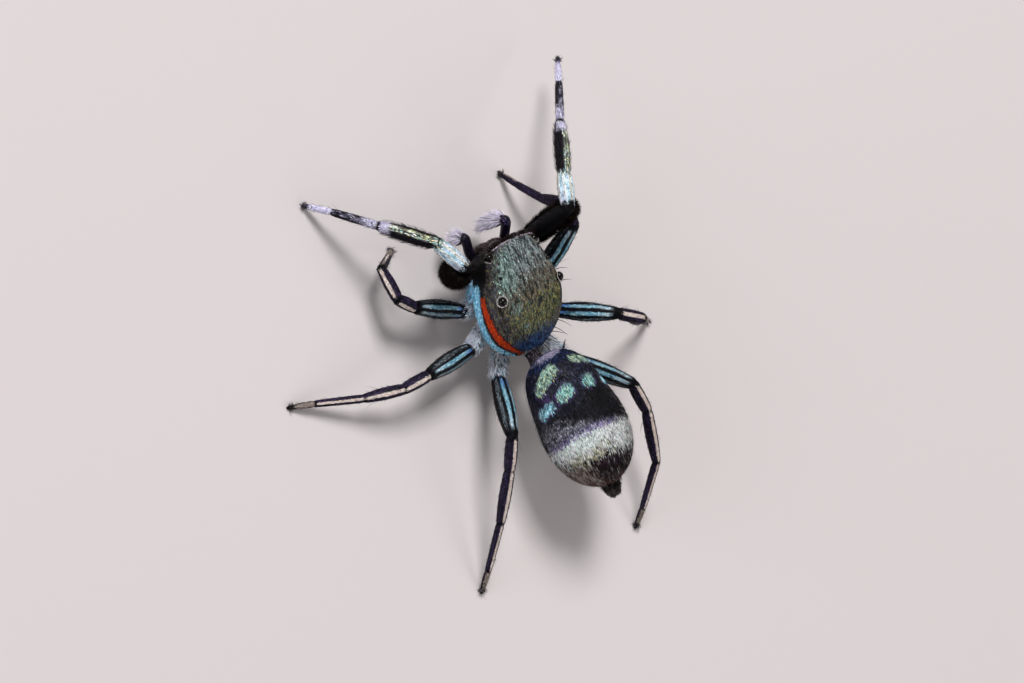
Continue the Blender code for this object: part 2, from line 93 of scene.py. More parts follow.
def add_node(tree, kind, settings, *links):
    """Adds one shader node, sets its sockets and properties, and links (socket, source) pairs."""
    node = tree.nodes.new(kind)
    for key, value in settings.items():
        if isinstance(key, int) or key in node.inputs:
            node.inputs[key].default_value = value
        else:
            setattr(node, key, value)
    for socket, source in links:
        tree.links.new(source, node.inputs[socket])
    return node


def flow(knots, t):
    """Smooth value at t through knots of (t, value, value ...), by cubic pieces."""
    last = len(knots) - 1
    i = 0
    while i < last - 1 and knots[i + 1][0] < t:
        i += 1
    before, start = knots[max(i - 1, 0)], knots[i]
    end, after = knots[i + 1], knots[min(i + 2, last)]
    span = end[0] - start[0]
    f = min(max((t - start[0]) / span, 0.0), 1.0)
    values = []
    for k in range(1, len(start)):
        slope_in = (end[k] - before[k]) / (end[0] - before[0]) * span
        slope_out = (after[k] - start[k]) / (after[0] - start[0]) * span
        values.append((2 * f**3 - 3 * f**2 + 1) * start[k] + (f**3 - 2 * f**2 + f) * slope_in
                      + (3 * f**2 - 2 * f**3) * end[k] + (f**3 - f**2) * slope_out)
    return values


def sweep(bm, rings):
    """Draws a closed tube through rings with equally many points."""
    current = bmesh.ops.create_circle(bm, cap_ends=True, segments=len(rings[0]), radius=1.0)["verts"]
    for vert, place in zip(current, rings[0]):
        vert.co = place
    members = set(current)
    edges = [e for e in bm.edges if e.verts[0] in members and e.verts[1] in members]
    for ring in rings[1:]:
        grown = bmesh.ops.extrude_edge_only(bm, edges=edges)["geom"]
        new_verts = {g for g in grown if isinstance(g, bmesh.types.BMVert)}
        edges = [g for g in grown if isinstance(g, bmesh.types.BMEdge)
                 and g.verts[0] in new_verts and g.verts[1] in new_verts]
        following = [next(e.other_vert(v) for e in v.link_edges if e.other_vert(v) in new_verts)
                     for v in current]
        for vert, place in zip(following, ring):
            vert.co = place
        current = following
    bm.faces.new(current)
    bmesh.ops.recalc_face_normals(bm, faces=bm.faces[:])


SHADE_SPREAD = (0.75, 1.3)


def pick(draw, palette, count):
    """A colour for each of count hairs, from pairs of hex and share, with a little spread."""
    pairs = [pair.split() for pair in palette.split(",")]
    shades = np.array([linear(hex_colour) for hex_colour, _ in pairs])
    shares = np.array([float(share) for _, share in pairs])
    chosen = draw.choice(len(pairs), count, p=shares / shares.sum())
    return shades[chosen] * draw.uniform(*SHADE_SPREAD, (count, 1))


def step(low, high, value):
    """0 below low, 1 above high, and a soft rise between."""
    f = np.clip((value - low) / (high - low), 0, 1)
    return f * f * (3 - 2 * f)


def lay_over(draw, base, *layers):
    """Gives hairs the colour of one layer after another, for the share of them that it covers."""
    for colour, share in layers:
        base = np.where((draw.random(len(base)) < share)[:, None], colour, base)
    return base


SKIN_DRAWS = 6
SKIN_SHADE = 0.7


def place_piece(name, mesh, material, stands_for=()):
    """Puts a finished mesh on the body, in place of the CAD nodes that it covers."""
    mesh.materials.append(material)
    mesh.shade_smooth()
    piece = bpy.data.objects.new(name, mesh)
    bpy.context.scene.collection.objects.link(piece)
    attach(piece, "root")
    if stands_for:
        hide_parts(*stands_for)


def write_skin(name, bm, material, colour_at, stands_for=()):
    """Writes a millimetre bmesh as a skin piece in place of CAD nodes.

    The skin under a coat carries the coat's markings, averaged and a little darker.
    """
    places = np.array([v.co for v in bm.verts])
    for vert in bm.verts:
        vert.co = (vert.co + BODY_PLACE) * MM
        vert.co.z = max(vert.co.z, 0.0)
    mesh = bpy.data.meshes.new(name)
    bm.to_mesh(mesh)
    bm.free()
    if colour_at is not None:
        mean = sum(colour_at(places, seed) for seed in range(SKIN_DRAWS)) / SKIN_DRAWS
        colours = np.ones((len(places), 4))
        colours[:, :3] = mean * SKIN_SHADE
        layer = mesh.color_attributes.new("markings", "FLOAT_COLOR", "POINT")
        layer.data.foreach_set("color", colours.ravel())
    place_piece(name, mesh, material, stands_for)


def marked_material(name, roughness, specular, grain_mm, detail, darkest, palest):
    """A surface with the colours of the piece's markings, made uneven by a fine grain."""
    material = bpy.data.materials.new(name)
    material.use_nodes = True
    tree = material.node_tree
    shader = tree.nodes["Principled BSDF"]
    shader.inputs["Roughness"].default_value = roughness
    shader.inputs["Specular IOR Level"].default_value = specular
    place = add_node(tree, "ShaderNodeTexCoord", {})
    grain = add_node(tree, "ShaderNodeTexNoise", {"Scale": 1 / (grain_mm * MM), "Detail": detail},
                     ("Vector", place.outputs["Object"]))
    shade = add_node(tree, "ShaderNodeMapRange", {"To Min": darkest, "To Max": palest},
                     ("Value", grain.outputs["Fac"]))
    mark = add_node(tree, "ShaderNodeAttribute", {"attribute_name": "markings"})
    toned = add_node(tree, "ShaderNodeVectorMath", {"operation": "SCALE"},
                     ("Vector", mark.outputs["Color"]), ("Scale", shade.outputs["Result"]))
    tree.links.new(toned.outputs["Vector"], shader.inputs["Base Color"])
    return material, shader, grain


CUTICLE_IOR = 1.56


def cuticle_material(name, roughness, grain_mm, dimple, specular=0.2):
    """Insect-hard cuticle: a dark shell, half glossy, with pores drawn coarse enough to show."""
    material, shader, grain = marked_material(name, roughness, specular, grain_mm, 3.0, 0.6, 1.35)
    shader.inputs["IOR"].default_value = CUTICLE_IOR
    bump = add_node(material.node_tree, "ShaderNodeBump", {"Strength": 0.6, "Distance": dimple * MM},
                    ("Height", grain.outputs["Fac"]))
    material.node_tree.links.new(bump.outputs["Normal"], shader.inputs["Normal"])
    return material


def patchwork(column, row, seed=0.0):
    """A value from 0 to 1 for each cell of a grid, unlike the cells beside it."""
    return np.modf(np.abs(np.sin(column * 12.9898 + row * 78.233 + seed)) * 43758.5453)[0]


def clumps(places, across, along, seed):
    """A value from 0 to 1 for each small clump of hairs, the same all over the clump."""
    x, y, z = places.T
    column = np.floor((x + 0.6 * z) / across)
    row = np.floor(y / along + 0.5 * np.sin(column * 7.3))
    return patchwork(column, row, seed)


def from_edge(places):
    """Distance over the shield's surface from its lower edge, in mm."""
    stations = np.array(SHIELD_STATIONS)
    slope = np.gradient(stations[:, 1], stations[:, 0])
    half_width = np.interp(places[:, 1], stations[:, 0], stations[:, 1])
    lean = np.interp(places[:, 1], stations[:, 0], slope)
    inward = (half_width - np.abs(places[:, 0])) / np.sqrt(1 + lean**2)
    return np.hypot(np.maximum(inward, 0), np.maximum(places[:, 2], 0))


def shield_colours(places, seed):
    """Markings of the shield: turquoise edge, orange stripe, teal and gold scales on top."""
    draw = np.random.default_rng(seed)
    count = len(places)
    x, y, z = places.T
    edge = from_edge(places) + draw.normal(0, 0.008, count)
    front = pick(draw, "839292 26, 6e7976 26, 555a59 16, 1d2222 20, a8b0ab 6, 7c656f 6", count)
    middle = pick(draw, "605d4f 24, 695848 22, 46564d 14, 1b1714 24, 634e46 12, 7d816f 4", count)
    rear = pick(draw, "8a823e 20, 5c582e 20, 141112 34, 356a5e 13, 5a4149 9, 99914c 2, 2c4757 2", count)
    slope = pick(draw, "3c588e 30, 2a3e6c 32, 121525 22, 396880 10, 5b79a4 6", count)
    flank = pick(draw, "231d28 36, 4a3750 22, 53523c 20, 77703f 12, 2c4a4c 10", count)
    black = pick(draw, "0a090a 80, 1a1618 20", count)
    orange = pick(draw, "d03902 50, 922000 26, ec5d0d 14, 400d00 10", count)
    turquoise = pick(draw, "80cdec 38, b5efff 26, 5199c0 20, f2ffff 8, 284e64 8", count)
    pale = pick(draw, "b7bdb9 60, 8d979b 40", count)
    # Whole clumps of scales get painted glint or painted shade, as if turned to the light or away from it,
    # and the left front is greener
    clump = clumps(places, 0.026, 0.076, 3)
    fleck = np.where(clump < 0.29, 0.20, np.where(clump > 0.86, 1.85, 0.82 + 0.6 * clump))[:, None]
    front, middle, rear, slope, flank = (tone * fleck for tone in (front, middle, rear, slope, flank))
    front = front * (1 + (1 - step(-0.6, 0.0, x))[:, None] * np.array((-0.08, 0.14, 0.0)))
    colours = lay_over(draw, front, (middle, 1 - step(0.0, 0.75, y - 0.25 * x)),
                       (front, 0.8 * (1 - step(0.15, 0.45, np.hypot(x + 0.5, y - 0.45)))),
                       (rear, 1 - step(-0.42, 0.12, y - 0.2 * x)),
                       (slope, 1 - step(-0.98, -0.66, y - 0.1 * x)))
    for spot_x, spot_y, size in ((-0.50, -0.18, 0.16), (-0.27, -0.66, 0.10), (-0.62, 0.60, 0.12)):
        near = np.hypot(x - spot_x, y - spot_y) / size
        colours = lay_over(draw, colours, (front, 0.55 * (1 - step(0.4, 1.3, near))))
    colours = lay_over(draw, colours, (flank, (1 - step(0.56, 0.80, edge)) * step(-1.05, -0.7, y)))
    for spot_x, spot_y, wide, long in ((-0.47, -0.03, 0.07, 0.05), (0.12, -0.22, 0.05, 0.10),
                                       (-0.14, 0.26, 0.04, 0.09), (-0.23, 0.04, 0.04, 0.04)):
        near = np.hypot((x - spot_x) / wide, (y - spot_y) / long)
        colours = lay_over(draw, colours, (black, 0.85 * (1 - step(0.5, 1.2, near))))
    # Stripes of the edge, from the rim up: turquoise, orange between black lines, then the scales
    upper = np.interp(y, (-1.2, -1.13, -0.85, -0.36, 0.19, 0.30), (0.20, 0.25, 0.39, 0.42, 0.37, 0.30))
    right_upper = np.interp(y, (-1.2, -1.0, -0.73, -0.3), (0.12, 0.2, 0.3, 0.4))
    upper = np.where(x > 0, np.minimum(upper, right_upper), upper)
    lower = np.interp(y, (-1.2, -1.14, -0.95, -0.72, 0.11, 0.30), (0.16, 0.19, 0.235, 0.25, 0.25, 0.28))
    blue_top = np.interp(y, (-1.2, -1.15, -0.95, -0.45, 0.09, 0.33, 0.5),
                         (0.10, 0.13, 0.17, 0.18, 0.21, 0.27, 0.20))
    side = np.abs(x) > 0.22
    ragged = draw.normal(0, 0.012, count)
    black_top = np.interp(y, (-1.2, 0.30, 0.5, 0.95), (0.02, 0.02, 0.16, 0.20)) + upper
    face = (y + 0.3 * (0.66 - z)) > 1.085
    black_on = (edge < black_top + ragged) | face
    colours = np.where(black_on[:, None], black, colours)
    orange_on = (edge < upper - 0.01 + ragged) & (edge > lower + ragged * 0.5) & (y < 0.22) & side
    colours = np.where(orange_on[:, None], orange, colours)
    turquoise_on = (edge < blue_top + ragged * 0.4) & (y < 0.45) & (np.abs(x) > 0.3)
    colours = np.where(turquoise_on[:, None], turquoise, colours)
    rim = (y < -1.16 - 0.05 * x) & (z > 0.10) & (x > -0.25)
    return np.where(rim[:, None], pale, colours)


shield = bmesh.new()
rings = []
half_turn = np.linspace(0, math.pi, ARC_STEPS)
rear_y, front_y = SHIELD_STATIONS[0][0], SHIELD_STATIONS[-1][0]
last = SHIELD_RINGS - 1
for i in range(SHIELD_RINGS):
    y = rear_y + (front_y - rear_y) * (i / last - RING_CROWDING * math.sin(math.tau * i / last))
    half_width, height, square = flow(SHIELD_STATIONS, y)
    lean = FACE_LEAN * max(0.0, (y - FACE_FROM_Y) / (front_y - FACE_FROM_Y))
    rise = np.abs(np.sin(half_turn))**(2 / square)
    reach = np.sign(np.cos(half_turn)) * np.abs(np.cos(half_turn))**(2 / square)
    arc = np.stack([(half_width - COAT_DEPTH) * (1 - SHIELD_TAPER * rise) * reach,
                    y - COAT_DEPTH * y / SHIELD_HALF_LENGTH - lean * (1 - rise),
                    SHIELD_FLOOR + (height - COAT_DEPTH - SHIELD_FLOOR) * rise], 1)
    run = np.concatenate([[0.0], np.cumsum(np.linalg.norm(np.diff(arc, axis=0), axis=1))])
    even = np.linspace(0, run[-1], ARC_POINTS)
    rings.append([Vector(p) for p in np.stack([np.interp(even, run, c) for c in arc.T], 1)])
sweep(shield, rings)
shield_shell = shield.copy()
write_skin("head_shield", shield, cuticle_material("shield_cuticle", 0.38, 0.03, 0.006),
           shield_colours, ["carapace"])

# Scale coat of the head shield
# Flat scale hairs of layered chitin lie backwards over the shield and overlap like tiles. Each
# one is a thin leaf with a low ridge, rooted in the shield, and its layers give the teal and gold.
SCALES_PER_MM2 = 3000
# Share of the length and share of the width at each section, before the point
SCALE_SHAPE = ((0.0, 0.7), (0.55, 1.0))
# Each tuft's own small patch of the texture map
PATCH_HALF_WIDTH = 0.0014
PATCH_LENGTH = 0.003
PATCH_TIP = 0.0016


def lay_tufts(name, material, slot, roots, outs, lies, length, width, colours, unwrap,
              lift=0.12, curl=0.1, sink=0.012, shape=SCALE_SHAPE, flatness=0.3):
    """Sets one thin, tapered tuft of solid mesh at each root and joins them as one piece."""
    count = len(roots)
    outs, lies, colours = (np.broadcast_to(v, (count, 3)) for v in (outs, lies, colours))
    outs = outs / np.linalg.norm(outs, axis=1, keepdims=True)
    lies = lies - outs * (lies * outs).sum(1, keepdims=True) * (lift < 1)
    lies = lies / (np.linalg.norm(lies, axis=1, keepdims=True) + 1e-12)
    sides = np.cross(lies, outs)
    sides /= np.linalg.norm(sides, axis=1, keepdims=True) + 1e-12
    length = np.broadcast_to(length, count)[:, None]
    width = np.broadcast_to(width, count)[:, None]
    rows, spots = [], []
    for f, breadth in shape:
        centre = roots - outs * sink + lies * length * f + outs * length * (lift * f - curl * f * f)
        rows += [centre - sides * width * breadth / 2, centre + sides * width * breadth / 2,
                 centre + outs * width * breadth * flatness]
        patch_row = (f - 0.5) * PATCH_LENGTH
        spots += [(-PATCH_HALF_WIDTH * breadth, patch_row), (PATCH_HALF_WIDTH * breadth, patch_row),
                  (0.0, patch_row + PATCH_LENGTH / 6)]
    rows.append(roots - outs * sink + lies * length + outs * length * (lift - curl))
    spots.append((0.0, PATCH_TIP))
    per = len(rows)
    points = np.stack(rows, 1).reshape(-1, 3)
    pattern = [(0, 2, 1)]
    for ring in range(len(shape) - 1):
        a, b = ring * 3, ring * 3 + 3
        for m, n in ((0, 1), (1, 2), (2, 0)):
            pattern += [(a + m, a + n, b + n), (a + m, b + n, b + m)]
    a = (len(shape) - 1) * 3
    pattern += [(a + m, a + n, per - 1) for m, n in ((0, 1), (1, 2), (2, 0))]
    corners = (np.array(pattern)[None] + (np.arange(count) * per)[:, None, None]).reshape(-1)
    metres = (points + np.array(BODY_PLACE)) * MM
    metres[:, 2] = np.maximum(metres[:, 2], 0.0)
    mesh = bpy.data.meshes.new(name)
    mesh.vertices.add(len(points))
    mesh.vertices.foreach_set("co", metres.ravel())
    mesh.loops.add(len(corners))
    mesh.loops.foreach_set("vertex_index", corners.astype(np.int32))
    mesh.polygons.add(len(corners) // 3)
    mesh.polygons.foreach_set("loop_start", np.arange(0, len(corners), 3, dtype=np.int32))
    mesh.update(calc_edges=True)
    patches = (np.broadcast_to(unwrap, (count, 2))[:, None] + np.array(spots)).reshape(-1, 2)
    mesh.uv_layers.new(name="OFBake").data.foreach_set("uv", patches[corners].ravel())
    tints = np.ones((count, per, 4))
    tints[:, :, :3] = colours[:, None]
    layer = mesh.color_attributes.new("markings", "FLOAT_COLOR", "POINT")
    layer.data.foreach_set("color", tints.ravel())
    place_piece(name, mesh, material)


def scatter(bm, per_mm2, seed):
    """Roots spread over a skin by area, each with the direction that points out of the skin."""
    draw = np.random.default_rng(seed)
    bm.normal_update()
    bm.verts.index_update()
    # The order of faces differs from run to run, so their corners are sorted
    corners = sorted(sorted(loop.vert.index for loop in tri) for tri in bm.calc_loop_triangles())
    places = np.array([vert.co for vert in bm.verts])[np.array(corners)]
    normals = np.array([vert.normal for vert in bm.verts])[np.array(corners)]
    area = np.linalg.norm(np.cross(places[:, 1] - places[:, 0], places[:, 2] - places[:, 0]),
                          axis=1) / 2
    total = np.cumsum(area)
    count = int(total[-1] * per_mm2)
    chosen = np.searchsorted(total, (np.arange(count) + draw.random(count)) / count * total[-1])
    a, b = draw.random((2, count))
    weights = np.stack([1 - np.sqrt(a), np.sqrt(a) * (1 - b), np.sqrt(a) * b], 1)[:, :, None]
    return (places[chosen] * weights).sum(1), (normals[chosen] * weights).sum(1)


HAIR_GRAIN = 0.012
SHEEN_ROUGHNESS = 0.4


def hair_material(name, roughness, metallic, sheen=0.0, specular=0.1):
    """Hairs and scales of layered chitin: each has its own colour and a fine uneven grain."""
    material, shader, _ = marked_material(name, roughness, specular, HAIR_GRAIN, 1.0, 0.7, 1.3)
    shader.inputs["Metallic"].default_value = metallic
    shader.inputs["Sheen Weight"].default_value = sheen
    shader.inputs["Sheen Roughness"].default_value = SHEEN_ROUGHNESS
    return material


def shield_unwrap(places):
    """The shield's skin laid flat: round the arch in u, along the body in v."""
    around = np.arctan2(places[:, 2], places[:, 0]) / math.pi
    along = (places[:, 1] - rear_y) / (front_y - rear_y)
    return np.stack([0.02 + 0.96 * np.clip(around, 0, 1), 0.02 + 0.96 * along], 1)


# Centre of each eye on the right side, and its radius
EYE_PLACES = {
    "front_middle": (0.25, 0.955, 0.42, 0.205),
    "front_side": (0.60, 0.90, 0.52, 0.12),
    "rear_middle": (0.63, 0.47, 0.735, 0.045),
    "rear_side": (0.765, 0.03, 0.72, 0.12),
}


def clear_of_eyes(places, margin):
    """True for roots outside all eight eyes."""
    clear = np.ones(len(places), bool)
    for x, y, z, radius in EYE_PLACES.values():
        for sign in (-1, 1):
            clear &= np.linalg.norm(places - (sign * x, y, z), axis=1) > radius + margin
    return clear


# Thin layers of chitin give the scales a soft metallic glint
scale_material = hair_material("teal_gold_scale_hairs", 0.45, 0.30, specular=0.2)
draw = np.random.default_rng(5)
roots, outs = scatter(shield_shell, SCALES_PER_MM2, 21)
keep = (outs[:, 2] > -0.3) & clear_of_eyes(roots, -0.01)
roots, outs = roots[keep], outs[keep]
lies = (0.0, -1.0, -0.15) + draw.normal(0, 0.16, (len(roots), 3))
low_edge = from_edge(roots) < 0.17
lies[low_edge] += (0, 0, -0.35)
lies[low_edge, 0] += 0.5 * np.sign(roots[low_edge, 0])
lies[outs[:, 1] > 0.75] = (0.0, 0.2, -1.0)
lay_tufts("shield_scales", scale_material, "carapace", roots, outs, lies,
          draw.uniform(0.042, 0.072, len(roots)) * np.where(low_edge, 1.3, 1.0),
          draw.uniform(0.013, 0.021, len(roots)), shield_colours(roots, 31), shield_unwrap(roots),
          lift=0.12, curl=0.05, sink=0.005)

# White fringes of the head
# A line of short white hairs edges the shield above the big front eyes, and a narrow collar of
# them rings each side eye. Turquoise hairs stand out from the cheeks under the front corners.
LEFT_FRINGE_HAIRS = 230
RIGHT_FRINGE_HAIRS = 90
COLLAR_HEIGHT = 0.035
CHEEK_HAIRS = 420
BROW_HAIRS = 900
LONG_HAIR_SHAPE = ((0.0, 1.0), (0.35, 0.85), (0.7, 0.55))
lay_long_hairs = partial(lay_tufts, shape=LONG_HAIR_SHAPE, flatness=0.7)
# Clear, air-filled hairs scatter all light: soft white with a velvet sheen
white_material = hair_material("lilac_white_hairs", 0.5, 0.0, sheen=0.3)


def brow_line(x, y, z):
    """Places across the shield's front edge, which curves back and down to both sides."""
    return np.stack([x, y - 0.24 * np.abs(x)**2.2, z - 0.10 * x**2], 1)


fringe_x = np.concatenate([np.linspace(-0.54, -0.03, LEFT_FRINGE_HAIRS),
                           np.linspace(0.10, 0.54, RIGHT_FRINGE_HAIRS)])
count = len(fringe_x)
fringe_roots = brow_line(fringe_x, 1.085 + draw.normal(0, 0.006, count),
                         0.668 + draw.normal(0, 0.006, count))
fringe_outs = np.tile((0.0, 0.45, 0.9), (count, 1))
fringe_lies = np.stack([draw.normal(0, 0.25, count), np.full(count, 0.9), np.full(count, 0.1)], 1)
fringe_colours = pick(draw, "bcaab2 60, 93828c 28, dccfd4 12", count)
collar_roots, collar_outs, collar_lies = [], [], []
# Eye, radius of the collar round it, and number of hairs in it
for eye, ring_radius, hairs in (("rear_side", 0.095, 200), ("front_side", 0.102, 110)):
    x, y, z, _ = EYE_PLACES[eye]
    for sign in (-1, 1):
        up = Vector((sign * 0.40, 0.0 if eye == "rear_side" else 0.55, 0.85)).normalized()
        across = up.cross(Vector((0, 1, 0))).normalized()
        forward = up.cross(across)
        for k in range(hairs):
            angle = math.tau * k / hairs
            way = across * math.cos(angle) + forward * math.sin(angle)
            outer = 0.006 + 0.012 * (way.x * sign > 0.2)
            if eye == "rear_side" or (way.y < -0.35 and way.x * sign > -0.2):
                collar_roots.append(Vector((sign * x, y, z)) + up * COLLAR_HEIGHT
                                    + way * (ring_radius + draw.uniform(-0.004, outer)))
                collar_outs.append(up)
                collar_lies.append(way + up * 0.3 + across * draw.normal(0, 0.35)
                                   + forward * draw.normal(0, 0.35))
collar_roots, collar_outs, collar_lies = (np.array(v) for v in (collar_roots, collar_outs, collar_lies))
collar_count = len(collar_roots)
collar_colours = pick(draw, "cfc6c2 50, a2968f 32, 5a504c 18", collar_count)
head_roots = np.concatenate([fringe_roots, collar_roots])
lay_tufts("head_fringes", white_material, "carapace", head_roots,
          np.concatenate([fringe_outs, collar_outs]), np.concatenate([fringe_lies, collar_lies]),
          np.concatenate([draw.uniform(0.018, 0.03, count), draw.uniform(0.012, 0.024, collar_count)]),
          0.009, np.concatenate([fringe_colours, collar_colours]), shield_unwrap(head_roots),
          lift=0.3, curl=0.2)
cheek_side = np.where(draw.random(CHEEK_HAIRS) < 0.5, -1.0, 1.0)
cheek_y = draw.uniform(0.22, 0.62, CHEEK_HAIRS)
cheek_roots = np.stack([cheek_side * np.interp(cheek_y, (0.2, 0.62), (0.92, 0.80)), cheek_y,
                        draw.uniform(-0.02, 0.10, CHEEK_HAIRS)], 1)
cheek_lies = (0.0, -0.45, -0.15) + draw.normal(0, 0.32, (CHEEK_HAIRS, 3))
cheek_lies[:, 0] += cheek_side
lay_long_hairs("cheek_hairs", scale_material, "carapace", cheek_roots, (0.0, 0.2, 1.0), cheek_lies,
               draw.uniform(0.12, 0.28, CHEEK_HAIRS), 0.010,
               pick(draw, "66aecb 34, 94cde0 20, 123243 32, b9b0c4 14", CHEEK_HAIRS),
               shield_unwrap(cheek_roots), lift=0.25, curl=0.25)
brow_x = draw.uniform(-0.6, 0.6, BROW_HAIRS)
brow_roots = brow_line(brow_x, 1.095 + draw.normal(0, 0.012, BROW_HAIRS),
                       0.63 + draw.normal(0, 0.02, BROW_HAIRS))
brow_lies = (0.0, 0.75, -0.35) + draw.normal(0, 0.3, (BROW_HAIRS, 3))
# Short, pigmented hairs: dull black, with hardly any highlight
brow_material = hair_material("black_brow_bristles", 0.8, 0.0, specular=0.05)
lay_long_hairs("brow_hairs", brow_material, "carapace", brow_roots, (0.0, 0.5, 0.85), brow_lies,
               draw.uniform(0.05, 0.13, BROW_HAIRS), 0.009,
               pick(draw, "0b0808 66, 2a1c18 26, 6d5f60 8", BROW_HAIRS),
               shield_unwrap(brow_roots), lift=0.3, curl=0.25, flatness=0.6)

# Eyes
# Eight clear, smooth lenses of cuticle over black pigment: two big ones in front, one beside
# each, two specks on top and two at the back corners. Each is set in the shield by its edge.
LENS_DEPTH_GRAIN = 0.15
# Polished clear cuticle with the dark inside of the eye behind it: near black, one sharp highlight
lens_material = bpy.data.materials.new("black_lens_cuticle")
lens_material.use_nodes = True
lens_shader = lens_material.node_tree.nodes["Principled BSDF"]
lens_shader.inputs["Roughness"].default_value = 0.04
lens_shader.inputs["IOR"].default_value = 1.4
lens_shader.inputs["Specular IOR Level"].default_value = 0.25
lens_shader.inputs["Coat Weight"].default_value = 0.1
lens_shader.inputs["Coat Roughness"].default_value = 0.02
depth_place = add_node(lens_material.node_tree, "ShaderNodeTexCoord", {})
depth_tone = add_node(lens_material.node_tree, "ShaderNodeTexNoise",
                      {"Scale": 1 / (LENS_DEPTH_GRAIN * MM), "Detail": 1.0},
                      ("Vector", depth_place.outputs["Object"]))
depth_ramp = add_node(lens_material.node_tree, "ShaderNodeValToRGB", {},
                      ("Fac", depth_tone.outputs["Fac"]))
depth_ramp.color_ramp.elements[0].color = (*linear("020101"), 1)
depth_ramp.color_ramp.elements[1].color = (*linear("0f0805"), 1)
lens_material.node_tree.links.new(depth_ramp.outputs["Color"], lens_shader.inputs["Base Color"])
# Share of each eye's radius that the bare lens takes, inside its collar
LENS_SHARE = {"front_middle": 0.98, "front_side": 0.80, "rear_middle": 0.8, "rear_side": 0.77}
for eye, (x, y, z, radius) in EYE_PLACES.items():
    for side, sign in (("left", -1), ("right", 1)):
        lens = bmesh.new()
        bmesh.ops.create_uvsphere(lens, u_segments=40, v_segments=24,
                                  radius=radius * LENS_SHARE[eye])
        bmesh.ops.translate(lens, verts=lens.verts[:], vec=Vector((sign * x, y, z)))
        write_skin(f"lens_{eye}_{side}", lens, lens_material, None, [f"eye_{eye}_{side}"])

# Breast plate, mouth and jaws
# The underside is a flat oval plate between the leg roots, with the mouth plates before it.
# Two stout brown jaws hang from the face, under the front eyes, with short dark hairs in front.
PLATE_CENTRE_Y = -0.18
PLATE_HALF_WIDTH = 0.40
PLATE_HALF_LENGTH = 0.72
PLATE_SIDES = 32
JAW_HAIRS_PER_MM2 = 1000


def dark_colours(places, seed):
    """Brown-black cuticle."""
    return pick(np.random.default_rng(seed), "2a1d1f 60, 3a2926 40", len(places))


def oval(middle, across, other, sides):
    """Points of an oval section round its middle, from its two half axes."""
    turns = [math.tau * k / sides for k in range(sides)]
    return [middle + across * math.cos(turn) + other * math.sin(turn) for turn in turns]


# Bare hard cuticle: brown-black, with a broad highlight
plate_material = cuticle_material("brown_black_cuticle", 0.32, 0.04, 0.006)
plate = bmesh.new()
sweep(plate, [oval(Vector((0.0, PLATE_CENTRE_Y, height)), Vector((PLATE_HALF_WIDTH * scale, 0.0, 0.0)),
                   Vector((0.0, PLATE_HALF_LENGTH * scale, 0.0)), PLATE_SIDES)
              for height, scale in ((0.06, 1.05), (-0.16, 1.10), (-0.34, 1.0), (-0.44, 0.86),
                                    (-0.50, 0.55), (-0.515, 0.2))])
write_skin("breast_plate", plate, plate_material, dark_colours, ["sternum"])


def rounded_block(centre, half_sizes, power):
    """A block with round edges, from a ball whose sections are squared up."""
    bm = bmesh.new()
    bmesh.ops.create_uvsphere(bm, u_segments=32, v_segments=20, radius=1.0)
    for vert in bm.verts:
        way = vert.co.normalized()
        size = sum(abs(c)**power for c in way)**(-1 / power)
        vert.co = Vector(centre) + Vector([c * size * h for c, h in zip(way, half_sizes)])
    return bm


write_skin("mouth_plates", rounded_block((0.0, 0.68, -0.24), (0.27, 0.17, 0.26), 4.0),
           plate_material, dark_colours, ["mouthparts"])
for side, sign in (("left", -1), ("right", 1)):
    jaw = rounded_block((sign * 0.15, 0.98, -0.22), (0.14, 0.14, 0.36), 2.8)
    for vert in jaw.verts:
        vert.co.y -= 0.10 * step(-0.1, -0.6, vert.co.z)
    jaw_shell = jaw.copy()
    write_skin(f"jaw_{side}", jaw, plate_material, dark_colours, [f"chelicera_{side}"])
    roots, outs = scatter(jaw_shell, JAW_HAIRS_PER_MM2, 35)
    keep = (roots[:, 1] > 0.92) | (outs[:, 0] * sign > 0.5)
    roots, outs = roots[keep], outs[keep]
    lies = (0.0, 0.15, -1.0) + draw.normal(0, 0.18, (len(roots), 3))
    lay_long_hairs(f"jaw_{side}_hairs", brow_material, "jaw", roots, outs, lies,
                   draw.uniform(0.05, 0.10, len(roots)), 0.0065,
                   pick(draw, "17100f 60, 3a2b28 26, 8a7d78 14", len(roots)),
                   np.stack([0.5 + 0.4 * sign * roots[:, 0], 0.6 + roots[:, 2]], 1), lift=0.4, curl=0.15)

# Abdomen
# A soft oval sac of thin skin on a narrow waist. It carries black velvet with paired green
# spots in front and a broad silver-green band behind the middle.
SAC_CENTRE = Vector((0.265, -2.77, 0.54))
SAC_HALF_LENGTH = 1.494
SAC_HALF_WIDTH = 0.927
SAC_HALF_HEIGHT = 0.84
SAC_YAW = math.radians(10.7)
SAC_PITCH = math.radians(2)
SAC_BLUNTNESS_FRONT = 5.6
SAC_BLUNTNESS_TAIL = 1.68
SAC_SWELL = 0.26
SAC_STEPS = 72
SAC_COAT_DEPTH = 0.03
SAC_SKIN_LENGTH = 0.985
WAIST_SIDES = 24
sac_axis = Vector((math.sin(SAC_YAW) * math.cos(SAC_PITCH), -math.cos(SAC_YAW) * math.cos(SAC_PITCH),
                   math.sin(SAC_PITCH)))
sac_side = sac_axis.cross(Vector((0, 0, -1))).normalized()
sac_up = sac_axis.cross(sac_side)


def sac_girth(s):
    """Share of the full width at s, from -1 at the waist to 1 at the tail."""
    bluntness = SAC_BLUNTNESS_FRONT if s < 0 else SAC_BLUNTNESS_TAIL
    return math.sqrt(max(0.0, 1 - abs(s)**bluntness)) * (1 + SAC_SWELL * s)


